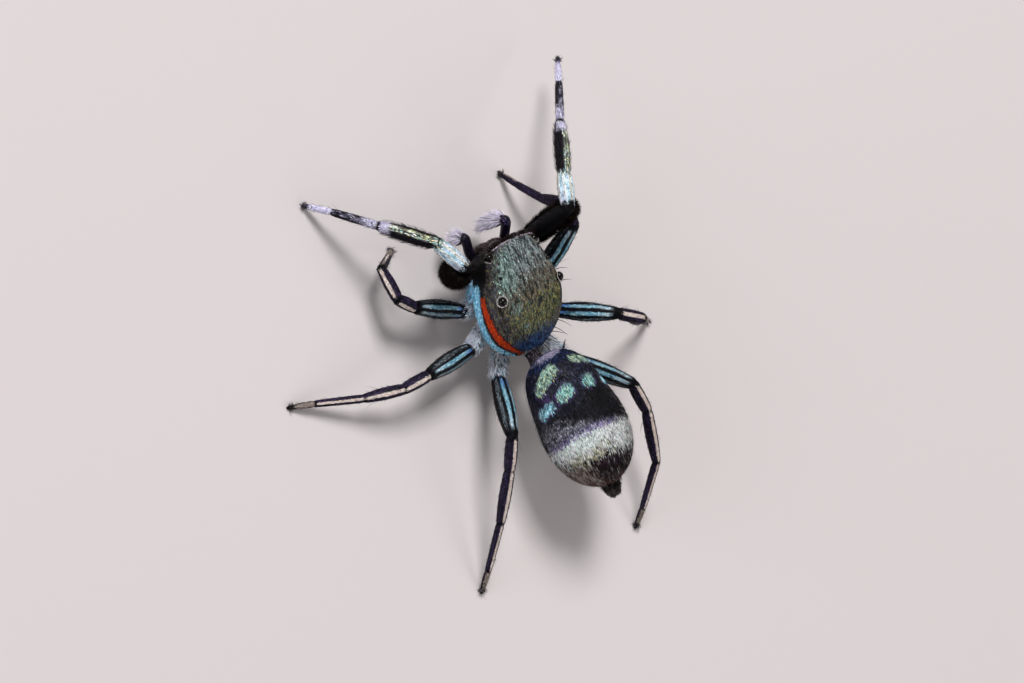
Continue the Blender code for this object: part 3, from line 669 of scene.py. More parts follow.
def sac_place(places):
    """Each place as s along the sac and the angle from the middle of its back, right positive."""
    offset = places - np.array(SAC_CENTRE)
    s = offset @ np.array(sac_axis) / SAC_HALF_LENGTH
    turn = np.arctan2(offset @ np.array(sac_side) / SAC_HALF_WIDTH,
                      offset @ np.array(sac_up) / SAC_HALF_HEIGHT)
    return s, turn


def sac_point(s, degrees):
    """The point of the sac's surface at s and an angle from the middle of its back."""
    turn = math.radians(degrees)
    out = sac_side * math.sin(turn) * SAC_HALF_WIDTH + sac_up * math.cos(turn) * SAC_HALF_HEIGHT
    return np.array(SAC_CENTRE + sac_axis * s * SAC_HALF_LENGTH + out * sac_girth(s))


# Start and end of each spot on the sac (s, degrees), radius at the start and end, and its colour
SAC_SPOTS = (
    ((-0.86, -38), (-0.67, -74), 0.145, 0.110, "moss"),
    ((-0.82, 24), (-0.69, 54), 0.120, 0.100, "moss"),
    ((-0.535, -27), (-0.50, -39), 0.128, 0.128, "green"),
    ((-0.50, 8), (-0.48, 17), 0.118, 0.118, "green"),
    ((-0.43, -62), (-0.36, -84), 0.098, 0.100, "cyan"),
    ((-0.36, 45), (-0.20, 72), 0.080, 0.100, "cyan"),
)


def sac_colours(places, seed):
    """Markings of the abdomen: velvet black, three pairs of green spots, and a pale band."""
    draw = np.random.default_rng(seed)
    count = len(places)
    s, turn = sac_place(places)
    angle = np.degrees(turn) + draw.normal(0, 1.2, count)
    s = s + draw.normal(0, 0.008, count)
    clump = clumps(places, 0.03, 0.06, 9)[:, None]
    velvet = pick(draw, "060507 70, 0d0b10 22, 1a1620 6, 2c2a34 2", count)
    speckled = pick(draw, "08080d 54, 131629 22, 232a45 10, 3c3745 6, 596074 3, 0d0b10 5", count)
    blue = pick(draw, "18244a 36, 2c4474 18, 08080f 46", count)
    violet = pick(draw, "46325f 45, 6a548c 25, 15101d 30", count)
    purple = pick(draw, "76629c 46, 5a4884 32, 9888b4 16, 1c1526 6", count)
    rust = pick(draw, "50291d 44, 331911 36, 735042 20", count)
    shades = {
        "moss": pick(draw, "a8c9ae 26, 84b6b2 22, c8c28a 16, 517a71 10, 161a18 20, effadd 6", count),
        "green": pick(draw, "9cd5c8 32, 82c1be 26, d2dbb3 10, 427570 10, 151c1c 16, e9fff8 6", count),
        "cyan": pick(draw, "99dfed 36, c7fdff 22, 61a8bd 20, 1b2c37 16, ffffff 6", count),
    }
    silver = pick(draw, "d9d7d1 30, f4ebe8 24, b2b4af 18, bbd1cb 10, 67605c 8, ffffff 10", count)
    teal = pick(draw, "ccddd0 40, eaf1e5 34, a7b7ad 20, 595952 6", count)
    straw = pick(draw, "b7b492 40, 929074 26, d7d4b8 22, 514b3d 12", count)
    grey = pick(draw, "4c4a51 20, 9492a0 24, 0c0b0e 36, c4c2cc 20", count)
    brown = pick(draw, "1a1216 46, 2e2021 28, 0e0b0d 20, 685653 6", count)
    plum = pick(draw, "2b1a2a 40, 4a3040 26, 120c12 34", count)
    pale = pick(draw, "94857c 34, 69584f 28, bbb0a8 22, 241b19 16", count)
    lilac = pick(draw, "a9a0b4 40, 7f7890 30, 3c384a 22, c9c2d0 8", count)
    colours = lay_over(draw, velvet, (speckled, 1 - step(-0.55, -0.25, s + 0.002 * angle)),
                       (blue, 0.85 * (1 - step(-0.93, -0.84, s))),
                       (lilac, 0.95 * (1 - step(-0.965, -0.935, s)) * step(-140, -100, angle)
                        * (1 - step(70, 100, angle))))
    # The violet line before the band, the band's rear edge, and how far the grey runs forward
    line_turns = (-180, -116, -99, -71, -54, -39, -20, -1, 27, 60, 110, 180)
    line = np.interp(angle, line_turns,
                     (0.22, 0.17, 0.14, 0.09, 0.06, 0.04, 0.05, 0.10, 0.21, 0.26, 0.22, 0.22))
    rear = np.interp(angle, line_turns,
                     (0.20, 0.33, 0.38, 0.44, 0.46, 0.44, 0.46, 0.52, 0.60, 0.62, 0.45, 0.20))
    reach = np.interp(angle, (-110, -95, -65, -40, -15, 10, 40), (0.28, 0.34, 0.31, 0.17, 0.08, 0.05, 0.03))
    before = (line - s) / reach
    mixed = (1 - step(0.55, 1.15, before)) * step(-0.2, 0.0, before) * step(-125, -85, angle)
    colours = lay_over(draw, colours, (grey, 0.75 * mixed))
    for start, end, start_radius, end_radius, shade in SAC_SPOTS:
        a, b = sac_point(*start), sac_point(*end)
        along = np.clip((places - a) @ (b - a) / ((b - a) @ (b - a)), 0, 1)
        off = np.linalg.norm(places - a - along[:, None] * (b - a), axis=1)
        far = (off + draw.normal(0, 0.012, count)) / (start_radius + (end_radius - start_radius) * along)
        halo = step(0.9, 1.05, far) * (1 - step(1.15, 1.6, far))
        fleck = np.where(clump < 0.2, 0.25, 0.8 + 0.6 * clump)
        colours = lay_over(draw, colours, (violet, 0.6 * halo * step(-0.9, -0.6, s)),
                           (shades[shade] * fleck, 0.95 * (1 - step(0.86, 1.08, far))))
    patch = np.linalg.norm(places - sac_point(-0.54, -66), axis=1)
    colours = lay_over(draw, colours, (violet, 0.7 * (1 - step(0.06, 0.15, patch))),
                       (brown, step(-0.02, 0.06, s - rear)),
                       (plum, 0.7 * step(-0.02, 0.03, s - rear) * (1 - step(0.05, 0.16, s - rear))
                        * step(-60, -40, angle)),
                       (pale, 0.85 * step(-0.04, 0.06, s - rear) * step(38, 70, -angle)
                        * (1 - step(130, 150, -angle))),
                       (rust, 0.75 * step(0.78, 0.92, s - 0.0012 * angle)))
    on_band = step(-0.02, 0.03, s - line) * (1 - step(-0.14, 0.07, s - rear + draw.normal(0, 0.03, count)))
    tint = lay_over(draw, silver, (teal, 0.85 * step(-100, -70, angle) * (1 - step(-40, -5, angle))
                                   * (1 - step(0.20, 0.32, s))),
                    (straw, 0.7 * step(0.24, 0.38, s) * step(-90, -60, angle) * (1 - step(-30, 0, angle))))
    # Right of the middle of the back the band is painted up to half as bright: painted shade on the side
    # away from the light
    tint = np.minimum(tint * (1.1 + 0.35 * clump) * (1 - 0.50 * step(12, 44, angle))[:, None], 1.0)
    on_line = 1 - step(0.014, 0.034, np.abs(s - line - 0.004))
    return lay_over(draw, colours, (tint, 0.96 * on_band * (1 - 0.35 * step(80, 110, -angle))
                                    * (1 - step(120, 150, np.abs(angle)))),
                    (purple, 0.9 * on_line * step(-108, -85, angle) * (1 - step(0, 22, angle))))


sac = bmesh.new()
rings = []
for i in range(1, SAC_STEPS):
    s = -math.cos(math.pi * i / SAC_STEPS)
    middle = SAC_CENTRE + sac_axis * s * SAC_HALF_LENGTH * SAC_SKIN_LENGTH
    girth = sac_girth(s)
    rings.append(oval(middle, sac_up * (girth * SAC_HALF_HEIGHT - SAC_COAT_DEPTH),
                      sac_side * (girth * SAC_HALF_WIDTH - SAC_COAT_DEPTH), SAC_STEPS))
sweep(sac, rings)
sac_shell = sac.copy()
# Thin, folded skin: nearly black and duller than the plates
write_skin("abdomen_skin", sac, cuticle_material("soft_black_skin", 0.5, 0.05, 0.01),
           sac_colours, ["abdomen"])
waist = bmesh.new()
rings = []
for f, radius in ((0.0, 0.17), (0.2, 0.155), (0.5, 0.15), (0.8, 0.16), (1.0, 0.18)):
    middle = Vector((0.03 * f, -1.16 - 0.42 * f, 0.06 + 0.12 * f))
    rings.append(oval(middle, Vector((radius, 0.0, 0.0)), Vector((0.0, 0.0, radius)), WAIST_SIDES))
sweep(waist, rings)
waist_shell = waist.copy()
write_skin("waist", waist, plate_material, dark_colours)

# Coat of the abdomen
# Fine flat hairs lie backwards over the sac and overlap, a little raised over its tail end.
# Long pale hairs stand clear of its sides and tail.
VELVET_PER_MM2 = 2300
WAIST_HAIRS_PER_MM2 = 2600
LONG_HAIRS_PER_MM2 = 110
# Black pigment hairs swallow light, and the layered ones of the band glint like dull metal
velvet_material = hair_material("velvet_and_metal_hairs", 0.5, 0.2, specular=0.06)


def sac_unwrap(places):
    """The sac's skin laid flat: round it in u, along it in v."""
    s, turn = sac_place(places)
    return np.stack([0.02 + 0.96 * (turn / math.tau + 0.5), 0.02 + 0.48 * (np.clip(s, -1, 1) + 1)], 1)


roots, outs = scatter(sac_shell, VELVET_PER_MM2, 22)
s, turn = sac_place(roots)
lies = np.array(sac_axis) + draw.normal(0, 0.12, (len(roots), 3))
hair_colours = sac_colours(roots, 32)
hair_length = draw.uniform(0.06, 0.11, len(roots)) * (1 + 0.7 * step(0.0, 0.6, s))
hair_unwrap = sac_unwrap(roots)
for where, part in (("front", s < -0.35), ("middle", (s >= -0.35) & (s < 0.25)), ("back", s >= 0.25)):
    lay_tufts(f"abdomen_coat_{where}", velvet_material, "abdomen", roots[part], outs[part], lies[part],
              hair_length[part], 0.014, hair_colours[part], hair_unwrap[part], lift=0.2, curl=0.12,
              sink=0.008)
roots, outs = scatter(waist_shell, WAIST_HAIRS_PER_MM2, 24)
lies = (0.0, -1.0, 0.2) + draw.normal(0, 0.3, (len(roots), 3))
lay_tufts("waist_coat", velvet_material, "abdomen", roots, outs, lies,
          draw.uniform(0.05, 0.11, len(roots)), 0.010,
          pick(draw, "0d0a0b 60, 231d1f 20, 6c6670 14, a39ca8 6", len(roots)),
          (0.5, 0.01), lift=0.35, curl=0.1)
roots, outs = scatter(sac_shell, LONG_HAIRS_PER_MM2, 23)
s, turn = sac_place(roots)
keep = (s > 0.05) | (np.abs(np.degrees(turn)) > 88) | (s < -0.955) | (draw.random(len(roots)) < 0.12)
roots, outs, s, turn = roots[keep], outs[keep], s[keep], turn[keep]
lies = np.array(sac_axis) + draw.normal(0, 0.15, (len(roots), 3))
long_colours = lay_over(draw, pick(draw, "7d7674 50, 4a4443 24, b0a8a6 26", len(roots)),
                        (pick(draw, "b4adba 60, 857f90 40", len(roots)), 1 - step(-0.9, -0.85, s)))
long_colours[(s > -0.85) & (s < 0.05)] = linear("1c191d")
lay_long_hairs("abdomen_long_hairs", white_material, "abdomen", roots, outs, lies,
               draw.uniform(0.10, 0.20, len(roots)) * np.where(s < -0.85, 0.5, 1.0), 0.006,
               long_colours, sac_unwrap(roots), lift=0.55, curl=0.18)

# Spinnerets
# Six short black cones at the tail spin the thread. Two long pairs show, with a small pair
# between them, and they press together under the end of the sac.
TAIL_END = 0.955
CONE_BASE = 0.12
CONE_TIP = 0.055
CONE_SIDES = 14
SPINNERET_HAIRS_PER_MM2 = 1500
tail_end = SAC_CENTRE + sac_axis * SAC_HALF_LENGTH * TAIL_END
turn_to_tail = Vector((0, 0, 1)).rotation_difference(sac_axis - sac_side * 0.18).to_matrix()
tail = bmesh.new()
# Place of each cone across and up from the tail's axis, and its length
for across, lift, reach in ((-0.15, 0.02, 0.28), (0.04, 0.02, 0.30), (-0.12, -0.08, 0.27),
                            (0.02, -0.08, 0.27), (-0.085, 0.0, 0.30), (-0.03, 0.0, 0.30)):
    cone = bmesh.ops.create_cone(tail, cap_ends=True, segments=CONE_SIDES, radius1=CONE_BASE,
                                 radius2=CONE_TIP, depth=reach)["verts"]
    bmesh.ops.rotate(tail, verts=cone, cent=Vector(), matrix=turn_to_tail)
    middle = tail_end + sac_side * (across - 0.02) + sac_up * lift + sac_axis * reach / 2
    bmesh.ops.translate(tail, verts=cone, vec=middle)
tail_shell = tail.copy()
write_skin("spinnerets_cones", tail, plate_material, dark_colours, ["spinnerets"])
roots, outs = scatter(tail_shell, SPINNERET_HAIRS_PER_MM2, 25)
lies = np.array(sac_axis) + draw.normal(0, 0.2, (len(roots), 3))
lay_tufts("spinneret_hairs", velvet_material, "jaw", roots, outs, lies,
          draw.uniform(0.05, 0.12, len(roots)), 0.010,
          pick(draw, "060505 76, 1a1414 18, 3c3230 6", len(roots)),
          (0.5, 0.99), lift=0.3, curl=0.1)

# Legs
# Each leg is a chain of hard tubes, joined by soft skin at the joints: root, thigh, knee
# piece, shin, and a two-part foot. One skin runs from the root to the claws.
ROOT_Y = {1: 0.36, 2: 0.00, 3: -0.36, 4: -0.70}
ROOT_Z = -0.30
MARGIN_HEIGHT = 1.0
SOLE_HEIGHT = 0.035
LEG_SIDES = 48
LEG_STATIONS = (0.0, 0.07, 0.16, 0.3, 0.45, 0.6, 0.74, 0.86, 0.94)
JOINT_WAIST = 0.88
MITRE_REACH = 0.26
LEG_COAT_PER_MM2 = 1850
FINE_HAIRS_PER_MM2 = 110
SHIN_FRINGE_PER_MM2 = 700
CLAW_HAIRS = 90
# Lengths of the thigh, knee piece, shin and two parts of the foot of each pair
LEG_SPANS = {
    1: (1.38, 0.74, 1.22, 0.95, 0.60),
    2: (1.25, 0.48, 0.68, 0.64, 0.44),
    3: (1.32, 0.58, 0.86, 1.04, 0.52),
    4: (1.52, 0.70, 1.12, 1.04, 0.48),
}
# Radius at the start, middle and end of each length, from the root to the tip
FRONT_RADII = ((0.15, 0.16, 0.15), (0.15, 0.185, 0.15), (0.14, 0.165, 0.14), (0.13, 0.15, 0.11),
               (0.09, 0.085, 0.075), (0.066, 0.068, 0.04))
OTHER_RADII = ((0.14, 0.15, 0.14), (0.135, 0.198, 0.13), (0.115, 0.13, 0.115), (0.11, 0.125, 0.092),
               (0.085, 0.08, 0.07), (0.064, 0.062, 0.038))
# Hip, then each length's heading (degrees outward from straight ahead) and its climb, where the
# last length comes down to the floor if it has none
STANCE = {
    ("left", 1): ((-0.96, 0.82, -0.22), (73, 29, 44, 45, 47), (62, -10, -41, -39, None)),
    ("right", 1): ((0.96, 0.82, -0.22), (33, 31, 35, 40, 39), (67, -19, -21, -23, -23)),
    ("left", 2): ((-1.00, 0.00, -0.28), (67, 52, 3, -80, -80), (2, 10, -13, -36, None)),
    ("right", 2): ((1.06, 0.02, -0.28), (41, -12, -11, -14, -13), (34, 12, -72, -53, None)),
    ("left", 3): ((-1.10, -0.74, -0.26), (95, 97, 82, 75, 77), (5, -13, -17, -16, None)),
    ("right", 3): ((1.10, -0.72, -0.24), (120, 119, 106, 107, 107), (51, 3, -63, -39, None)),
    ("left", 4): ((-0.66, -1.48, -0.34), (146, 168, 162, 161, 164), (32, -21, -22, -28, None)),
    ("right", 4): ((0.96, -1.68, -0.18), (133, 159, 180, 198, 192), (17, -12, -12, -31, None)),
}


def leg_joints(side, number):
    """The leg's joints from its root at the breast plate to its tip."""
    hip, headings, climbs = STANCE[(side, number)]
    sign = -1.0 if side == "left" else 1.0
    offset = (ROOT_Y[number] - PLATE_CENTRE_Y) / PLATE_HALF_LENGTH
    joints = [Vector((sign * PLATE_HALF_WIDTH * math.sqrt(1 - offset**2) * 0.9, ROOT_Y[number],
                      ROOT_Z)), Vector(hip)]
    for span, heading, climb in zip(LEG_SPANS[number], headings, climbs):
        if climb is None:
            climb = -math.degrees(math.asin((joints[-1].z + MARGIN_HEIGHT - SOLE_HEIGHT) / span))
        h, e = math.radians(heading), math.radians(climb)
        joints.append(joints[-1] + span * Vector((sign * math.sin(h) * math.cos(e),
                                                  math.cos(h) * math.cos(e), math.sin(e))))
    return joints


def upward(way):
    """The direction square to a length of leg that points most upward."""
    return (Vector((0, 0, 1)) - way * way.z).normalized()


def leg_skin(joints, radii):
    """A tube along the joints, waisted at each joint, its rings mitred where it bends."""
    ways = [(b - a).normalized() for a, b in zip(joints, joints[1:])]
    rings = []
    for i, way in enumerate(ways):
        span = (joints[i + 1] - joints[i]).length
        widths = [(0.0, radii[i][0]), (0.5, radii[i][1]), (1.0, radii[i][2])]
        for f in LEG_STATIONS:
            radius = flow(widths, f)[0]
            if f == 0.0 and i > 0:
                radius = min(radii[i - 1][2], radii[i][0]) * JOINT_WAIST
            near_start = max(0.0, 1 - f * span / MITRE_REACH)
            near_end = max(0.0, 1 - (1 - f) * span / MITRE_REACH)
            normal = way
            if i > 0 and near_start > 0:
                normal = way.lerp((ways[i - 1] + way).normalized(), near_start)
            if i < len(ways) - 1 and near_end > 0:
                normal = normal.lerp((way + ways[i + 1]).normalized(), near_end)
            top = upward(way)
            if f == 0.0 and i > 0:
                top = (upward(ways[i - 1]) + top).normalized()
                top = (top - way * top.dot(way)).normalized()
            across = way.cross(top)
            centre = joints[i].lerp(joints[i + 1], f)
            spokes = [spoke * radius for spoke in oval(Vector(), top, across, LEG_SIDES)]
            rings.append([centre + spoke - way * spoke.dot(normal) / way.dot(normal)
                          for spoke in spokes])
    way = ways[-1]
    top = upward(way)
    for beyond, share in ((0.0, 1.0), (0.025, 0.7), (0.035, 0.25)):
        radius = radii[-1][2] * share
        rings.append(oval(joints[-1] + way * beyond, top * radius, way.cross(top) * radius, LEG_SIDES))
    bm = bmesh.new()
    sweep(bm, rings)
    return bm


def leg_place(places, joints):
    """Each place as its length of leg, the share along it, and the angle round it from the top."""
    best = np.full(len(places), 1e9)
    piece = np.zeros(len(places), int)
    share = np.zeros(len(places))
    turn = np.zeros(len(places))
    ways = np.zeros((len(places), 3))
    for i, (a, b) in enumerate(zip(joints, joints[1:])):
        way = (b - a).normalized()
        top = upward(way)
        across = top.cross(way)
        offset = places - np.array(a)
        along = offset @ np.array(way)
        span = (b - a).length
        held = np.clip(along, 0, span)
        far = np.linalg.norm(offset - held[:, None] * np.array(way), axis=1)
        nearer = far < best
        best = np.where(nearer, far, best)
        piece = np.where(nearer, i, piece)
        share = np.where(nearer, np.clip(along / span, 0, 1), share)
        angle = np.degrees(np.arctan2(offset @ np.array(across), offset @ np.array(top)))
        turn = np.where(nearer, angle, turn)
        ways = np.where(nearer[:, None], np.array(way), ways)
    return piece, share, turn, ways


# How far the thigh's and the shin's stripes are turned round a leg, and the rear stripe's share
STRAIGHT = (0.0, 0.0, 1.0)
TWISTS = {("left", 2): (18.0, 52.0, 0.3), ("left", 3): (18.0, 8.0, 0.3), ("right", 2): (0.0, -60.0, 1.0),
          ("right", 4): (0.0, 0.0, 0.75)}


def front_leg_colours(piece, share, turn, draw):
    """A front leg: velvet thigh, pale iridescent knee, dark shin, mottled lilac-white foot."""
    count = len(piece)
    velvet = pick(draw, "070608 80, 130f14 20", count)
    cool = pick(draw, "b5d9e2 34, daf0f9 30, 87b0b7 18, c2b6e3 12, 313738 6", count)
    warm = pick(draw, "dddecc 34, f2f2f2 32, b6b493 16, d0b5b7 10, 161a1c 16", count)
    clump = patchwork(np.floor(share * 26), np.floor(turn / 11))
    speckle = pick(draw, "c8d7a2 12, b2e8d8 12, f9e198 10, ffffff 12, 141113 46, 72536d 8", count)
    shin = pick(draw, "080609 74, 151015 18, 2c2136 8", count)
    lilac = pick(draw, "c2bcd2 42, 978db2 20, e4e1ea 30, 1d1922 8", count)
    mottled = pick(draw, "a9a3bb 24, 5f5872 10, 0a080c 54, d3cfdc 12", count)
    patch = np.sin(share * 23 + 1.5 * np.sin(np.radians(turn * 3)) + 2.0)
    on = np.abs(turn)
    streak = np.sin(np.radians(turn * 7.0) + 2.0) + 0.5 * np.sin(np.radians(turn * 17.0))
    speckle = speckle * np.where(clump < 0.45, 0.15, 0.6 + 1.1 * clump)[:, None]
    knee = lay_over(draw, cool, (warm, step(-0.2, 0.7, streak))) * (0.70 + 0.85 * clump)[:, None]
    knee = lay_over(draw, knee, (lilac, 0.5 * step(0.5, 0.2, share) * step(30, 60, on)),
                    (speckle, 0.8 * step(0.82, 0.92, share)), (shin, 0.95 * step(100, 135, on)))
    top = lay_over(draw, shin, (speckle, 0.95 * (1 - step(24, 34, on))),
                   (lilac, 0.95 * step(0.74, 0.84, share) * (1 - step(80, 120, on))))
    foot = lay_over(draw, shin, (mottled, step(-0.5, 0.3, patch)),
                    (lilac, 0.85 * (1 - step(0.18, 0.42, share))),
                    (shin, 0.8 * step(35, 60, on) * step(0.3, 0.45, share)),
                    (shin, 0.6 * step(0.7, 0.9, share)))
    toe = lay_over(draw, lilac * 1.15, (shin, 0.9 * step(0.70, 0.82, share)))
    # Root, thigh, knee piece, shin and the two parts of the foot
    lengths = np.stack([velvet, velvet, knee, top, foot, toe])
    colours = lengths[piece, np.arange(count)]
    ring = ((piece == 2) & (share < 0.08)) | ((piece == 3) & ((share < 0.03) | (share > 0.95)))
    ring |= (piece == 4) & (share < 0.06)
    return np.where(ring[:, None], velvet, colours)


def other_leg_colours(twist, piece, share, turn, draw):
    """The other legs: two blue-green stripes on a black thigh, then a cream stripe on top.

    The twist turns the thigh's stripes, then the cream stripe, and dims the rear stripe.
    """
    count = len(piece)
    thigh_twist, shin_twist, rear_share = twist
    turn = turn - np.where(piece == 1, thigh_twist, np.where(piece >= 2, shin_twist, 0.0))
    velvet = pick(draw, "08070a 78, 15131c 22", count)
    purple = pick(draw, "09080c 54, 1f172b 22, 4b3c62 16, 171318 8", count)
    stripe = pick(draw, "68a5b6 28, a0ccd2 26, 3f7aa2 22, 264a5c 8, d2e8e4 10, 0a1014 6", count)
    blue = pick(draw, "3c62a6 44, 6a93c8 28, 1f3664 28", count)
    silver = pick(draw, "b2c6c8 44, 8496a7 32, dde4e8 24", count)
    cream = pick(draw, "dcc9bc 44, c2aa9a 22, efe5dc 26, 5e4c44 8", count)
    root = pick(draw, "d2d8e0 28, ffffff 34, 4c636d 8, 151519 16, cdc5e0 8, 93cde0 6", count)
    toe = pick(draw, "8f8074 40, b5a89c 24, 5f544e 20, 2a2323 16", count)
    on = np.abs(turn) + draw.normal(0, 1.5, count)
    paint = lay_over(draw, stripe, (blue, 0.8 * (1 - step(0.10, 0.32, share))),
                     (silver, 0.8 * step(0.62, 0.85, share)))
    wander = 3 * np.sin(share * 9 + np.sign(turn))
    paint = np.where((turn > 0)[:, None], lay_over(draw, silver * 0.45, (paint, rear_share)), paint)
    thigh = np.where(((on > 13 + wander) & (on < 36 + wander))[:, None], paint, velvet)
    thigh = lay_over(draw, thigh, (silver * 0.5, 0.35 * step(52, 60, on) * (1 - step(76, 90, on))))
    thigh = np.where(((share < 0.10) | (share > 0.92))[:, None], velvet, thigh)
    colours = np.where((piece == 0)[:, None], root, thigh)
    ragged = 1.6 * np.sin(share * 31) + draw.normal(0, 1.0, count)
    later = np.where((on < 17 + ragged)[:, None], cream, purple)
    colours = np.where((piece >= 2)[:, None], later, colours)
    joint = (piece >= 2) & ((share < 0.04) | (share > 0.96))
    colours = np.where(joint[:, None], velvet, colours)
    foot = lay_over(draw, toe, (purple, step(45, 80, on)), (velvet, 0.9 * step(0.68, 0.82, share)))
    return np.where((piece == 5)[:, None], foot, colours)


def coat_colours(joints, paint, places, seed):
    """Colours of a leg's coat at places on its skin."""
    piece, share, turn, _ = leg_place(places, joints)
    return paint(piece, share, turn, np.random.default_rng(seed))


def leg_hairs(shell, joints, per_mm2, seed):
    """Roots over a leg's skin, outward directions, their places on the leg, and the flat layout."""
    roots, outs = scatter(shell, per_mm2, seed)
    piece, share, turn, ways = leg_place(roots, joints)
    unwrap = np.stack([0.02 + 0.16 * (piece + share), 0.02 + 0.96 * (turn / 360 + 0.5)], 1)
    return roots, outs, piece, share, turn, ways, unwrap


# Hard tube under a dense coat: hardly any of its gloss shows
leg_cuticle = cuticle_material("leg_cuticle", 0.5, 0.02, 0.004, specular=0.07)
# Layered scales with a silky, slightly metallic glint
leg_hair = hair_material("leg_scale_hairs", 0.36, 0.35, specular=0.08)
# Stiff solid bristles, half glossy
bristle_material = hair_material("black_bristles", 0.35, 0.0)
for side, number in STANCE:
    front = number == 1
    label = f"leg_{number}_{side}"
    joints = leg_joints(side, number)
    paint = front_leg_colours if front else partial(other_leg_colours, TWISTS.get((side, number), STRAIGHT))
    skin = leg_skin(joints, FRONT_RADII if front else OTHER_RADII)
    shell = skin.copy()
    write_skin(f"{label}_skin", skin, leg_cuticle, partial(coat_colours, joints, paint),
               [f"{label}_{part}" for part in ("coxa", "femur", "patella", "tibia", "foot")])

    # The coat: flat scales on the leg, and long loose hairs on its root
    roots, outs, piece, share, turn, ways, unwrap = leg_hairs(shell, joints, LEG_COAT_PER_MM2, 40 + number)
    count = len(roots)
    on_root = piece == 0
    length = np.where(on_root, 0.15, 0.062) * draw.uniform(0.75, 1.25, count)
    lies = ways + draw.normal(0, 0.1, (count, 3)) * np.where(on_root, 5.0, 1.0)[:, None]
    lay_tufts(f"{label}_coat", leg_hair, "tibia", roots, outs, lies, length,
              np.where(on_root, 0.009, 0.019), paint(piece, share, turn, draw), unwrap,
              lift=np.where(on_root, 0.5, 0.12)[:, None], curl=0.05, sink=0.006)

    # The tuft that hides the two claws
    tip = np.array(joints[-1])
    way = np.array((joints[-1] - joints[-2]).normalized())
    fan = way + draw.normal(0, 0.35, (CLAW_HAIRS, 3))
    lay_long_hairs(f"{label}_claw_tuft", bristle_material, "foot",
                   tip - way * 0.06 + draw.normal(0, 0.016, (CLAW_HAIRS, 3)), fan + (0, 0, 1e-3), way,
                   draw.uniform(0.08, 0.13, CLAW_HAIRS), 0.012,
                   pick(draw, "2b2629 60, 57504f 40", CLAW_HAIRS), (0.99, 0.5), lift=0.3, curl=0.0,
                   flatness=0.6)

    # Fine hairs that stand off the coat, mostly on the sides, a few of them long
    roots, outs, piece, _, turn, ways, unwrap = leg_hairs(shell, joints, FINE_HAIRS_PER_MM2, 60 + number)
    keep = piece > (1 if front else 0)
    keep &= (np.abs(turn) > 30) | (draw.random(len(roots)) < 0.2)
    count = keep.sum()
    length = draw.uniform(0.06, 0.11, count) * np.where(draw.random(count) < 0.03, 2.4, 1.0)
    lay_long_hairs(f"{label}_fine_hairs", bristle_material, "foot", roots[keep], outs[keep], ways[keep],
                   length, 0.0065, pick(draw, "1a1618 70, 3c3434 30", count), unwrap[keep], lift=0.7,
                   curl=0.2, flatness=0.8)

    # The black fringe down the sides and the underside of each front shin
    if front:
        roots, outs, piece, share, turn, ways, unwrap = leg_hairs(shell, joints, SHIN_FRINGE_PER_MM2, 80)
        keep = (piece == 3) & (share < 0.9) & (np.abs(turn) > 65)
        count = keep.sum()
        lay_long_hairs(f"{label}_shin_fringe", bristle_material, "foot", roots[keep], outs[keep],
                       ways[keep] + draw.normal(0, 0.25, (count, 3)), draw.uniform(0.08, 0.15, count),
                       0.007, pick(draw, "0c0a0c 80, 2a2430 20", count), unwrap[keep], lift=0.7,
                       curl=0.2, flatness=0.8)

# Long bristles
# A few long black sensory bristles stand on the shield's edge, over the front of the abdomen
# and on the thigh of the right hind leg. Each one is a stiff, curved, tapering rod.
HIND_THIGH_RADIUS = 0.17
# Root, direction and length of each bristle
bristles = [
    ((0.70, -0.62, 0.44), (1.0, -0.4, 0.5), 0.30), ((0.52, -0.92, 0.33), (0.8, -0.6, 0.5), 0.34),
    ((0.40, -1.04, 0.26), (0.6, -0.7, 0.8), 0.28), ((0.20, -1.12, 0.22), (0.3, -0.8, 0.9), 0.30),
    ((-0.10, -1.14, 0.22), (-0.1, -1.0, 0.8), 0.22), ((0.86, 0.15, 0.55), (1.0, 0.1, 0.6), 0.26),
    ((0.80, 0.42, 0.50), (1.0, 0.4, 0.5), 0.30), ((0.62, -0.80, 0.36), (1.0, -0.5, 0.2), 0.40),
    ((0.46, -1.00, 0.28), (0.8, -0.2, 0.7), 0.36), ((0.30, -1.08, 0.24), (0.5, -0.3, 0.9), 0.30),
    ((0.84, -0.10, 0.55), (1.0, 0.1, 0.4), 0.28), ((-0.30, -1.08, 0.22), (-0.3, -1.0, 0.7), 0.20),
    ((-0.62, -0.95, 0.10), (-0.7, -0.7, 0.5), 0.24), ((-0.20, 0.80, 0.74), (-0.1, 0.7, 1.0), 0.16),
    ((0.20, 0.82, 0.74), (0.1, 0.7, 1.0), 0.16), ((-0.62, 0.66, 0.64), (-0.8, 0.3, 0.8), 0.18),
]
for s_along, degrees, reach in ((-0.93, 30, 0.30), (-0.92, 5, 0.24), (-0.90, -30, 0.2),
                                (-0.93, 62, 0.3), (-0.90, 85, 0.26), (-0.94, -75, 0.22)):
    bristles.append((sac_point(s_along, degrees), tuple(sac_up * 0.7 - sac_axis), reach))
hind = leg_joints("right", 4)
hind_way = (hind[2] - hind[1]).normalized()
for share, swing, reach in ((0.30, 0.5, 0.34), (0.62, 0.4, 0.34), (0.88, 0.2, 0.22)):
    up = (upward(hind_way) + hind_way.cross(upward(hind_way)) * swing).normalized()
    place = hind[1].lerp(hind[2], share) + up * HIND_THIGH_RADIUS
    bristles.append((place, tuple(up + hind_way * 0.35), reach))
bristle_roots, bristle_lies, bristle_reaches = (np.array(values) for values in zip(*bristles))
bristle_ups = np.cross(np.cross(bristle_lies, (0.1, -1.0, 0.1)), bristle_lies)
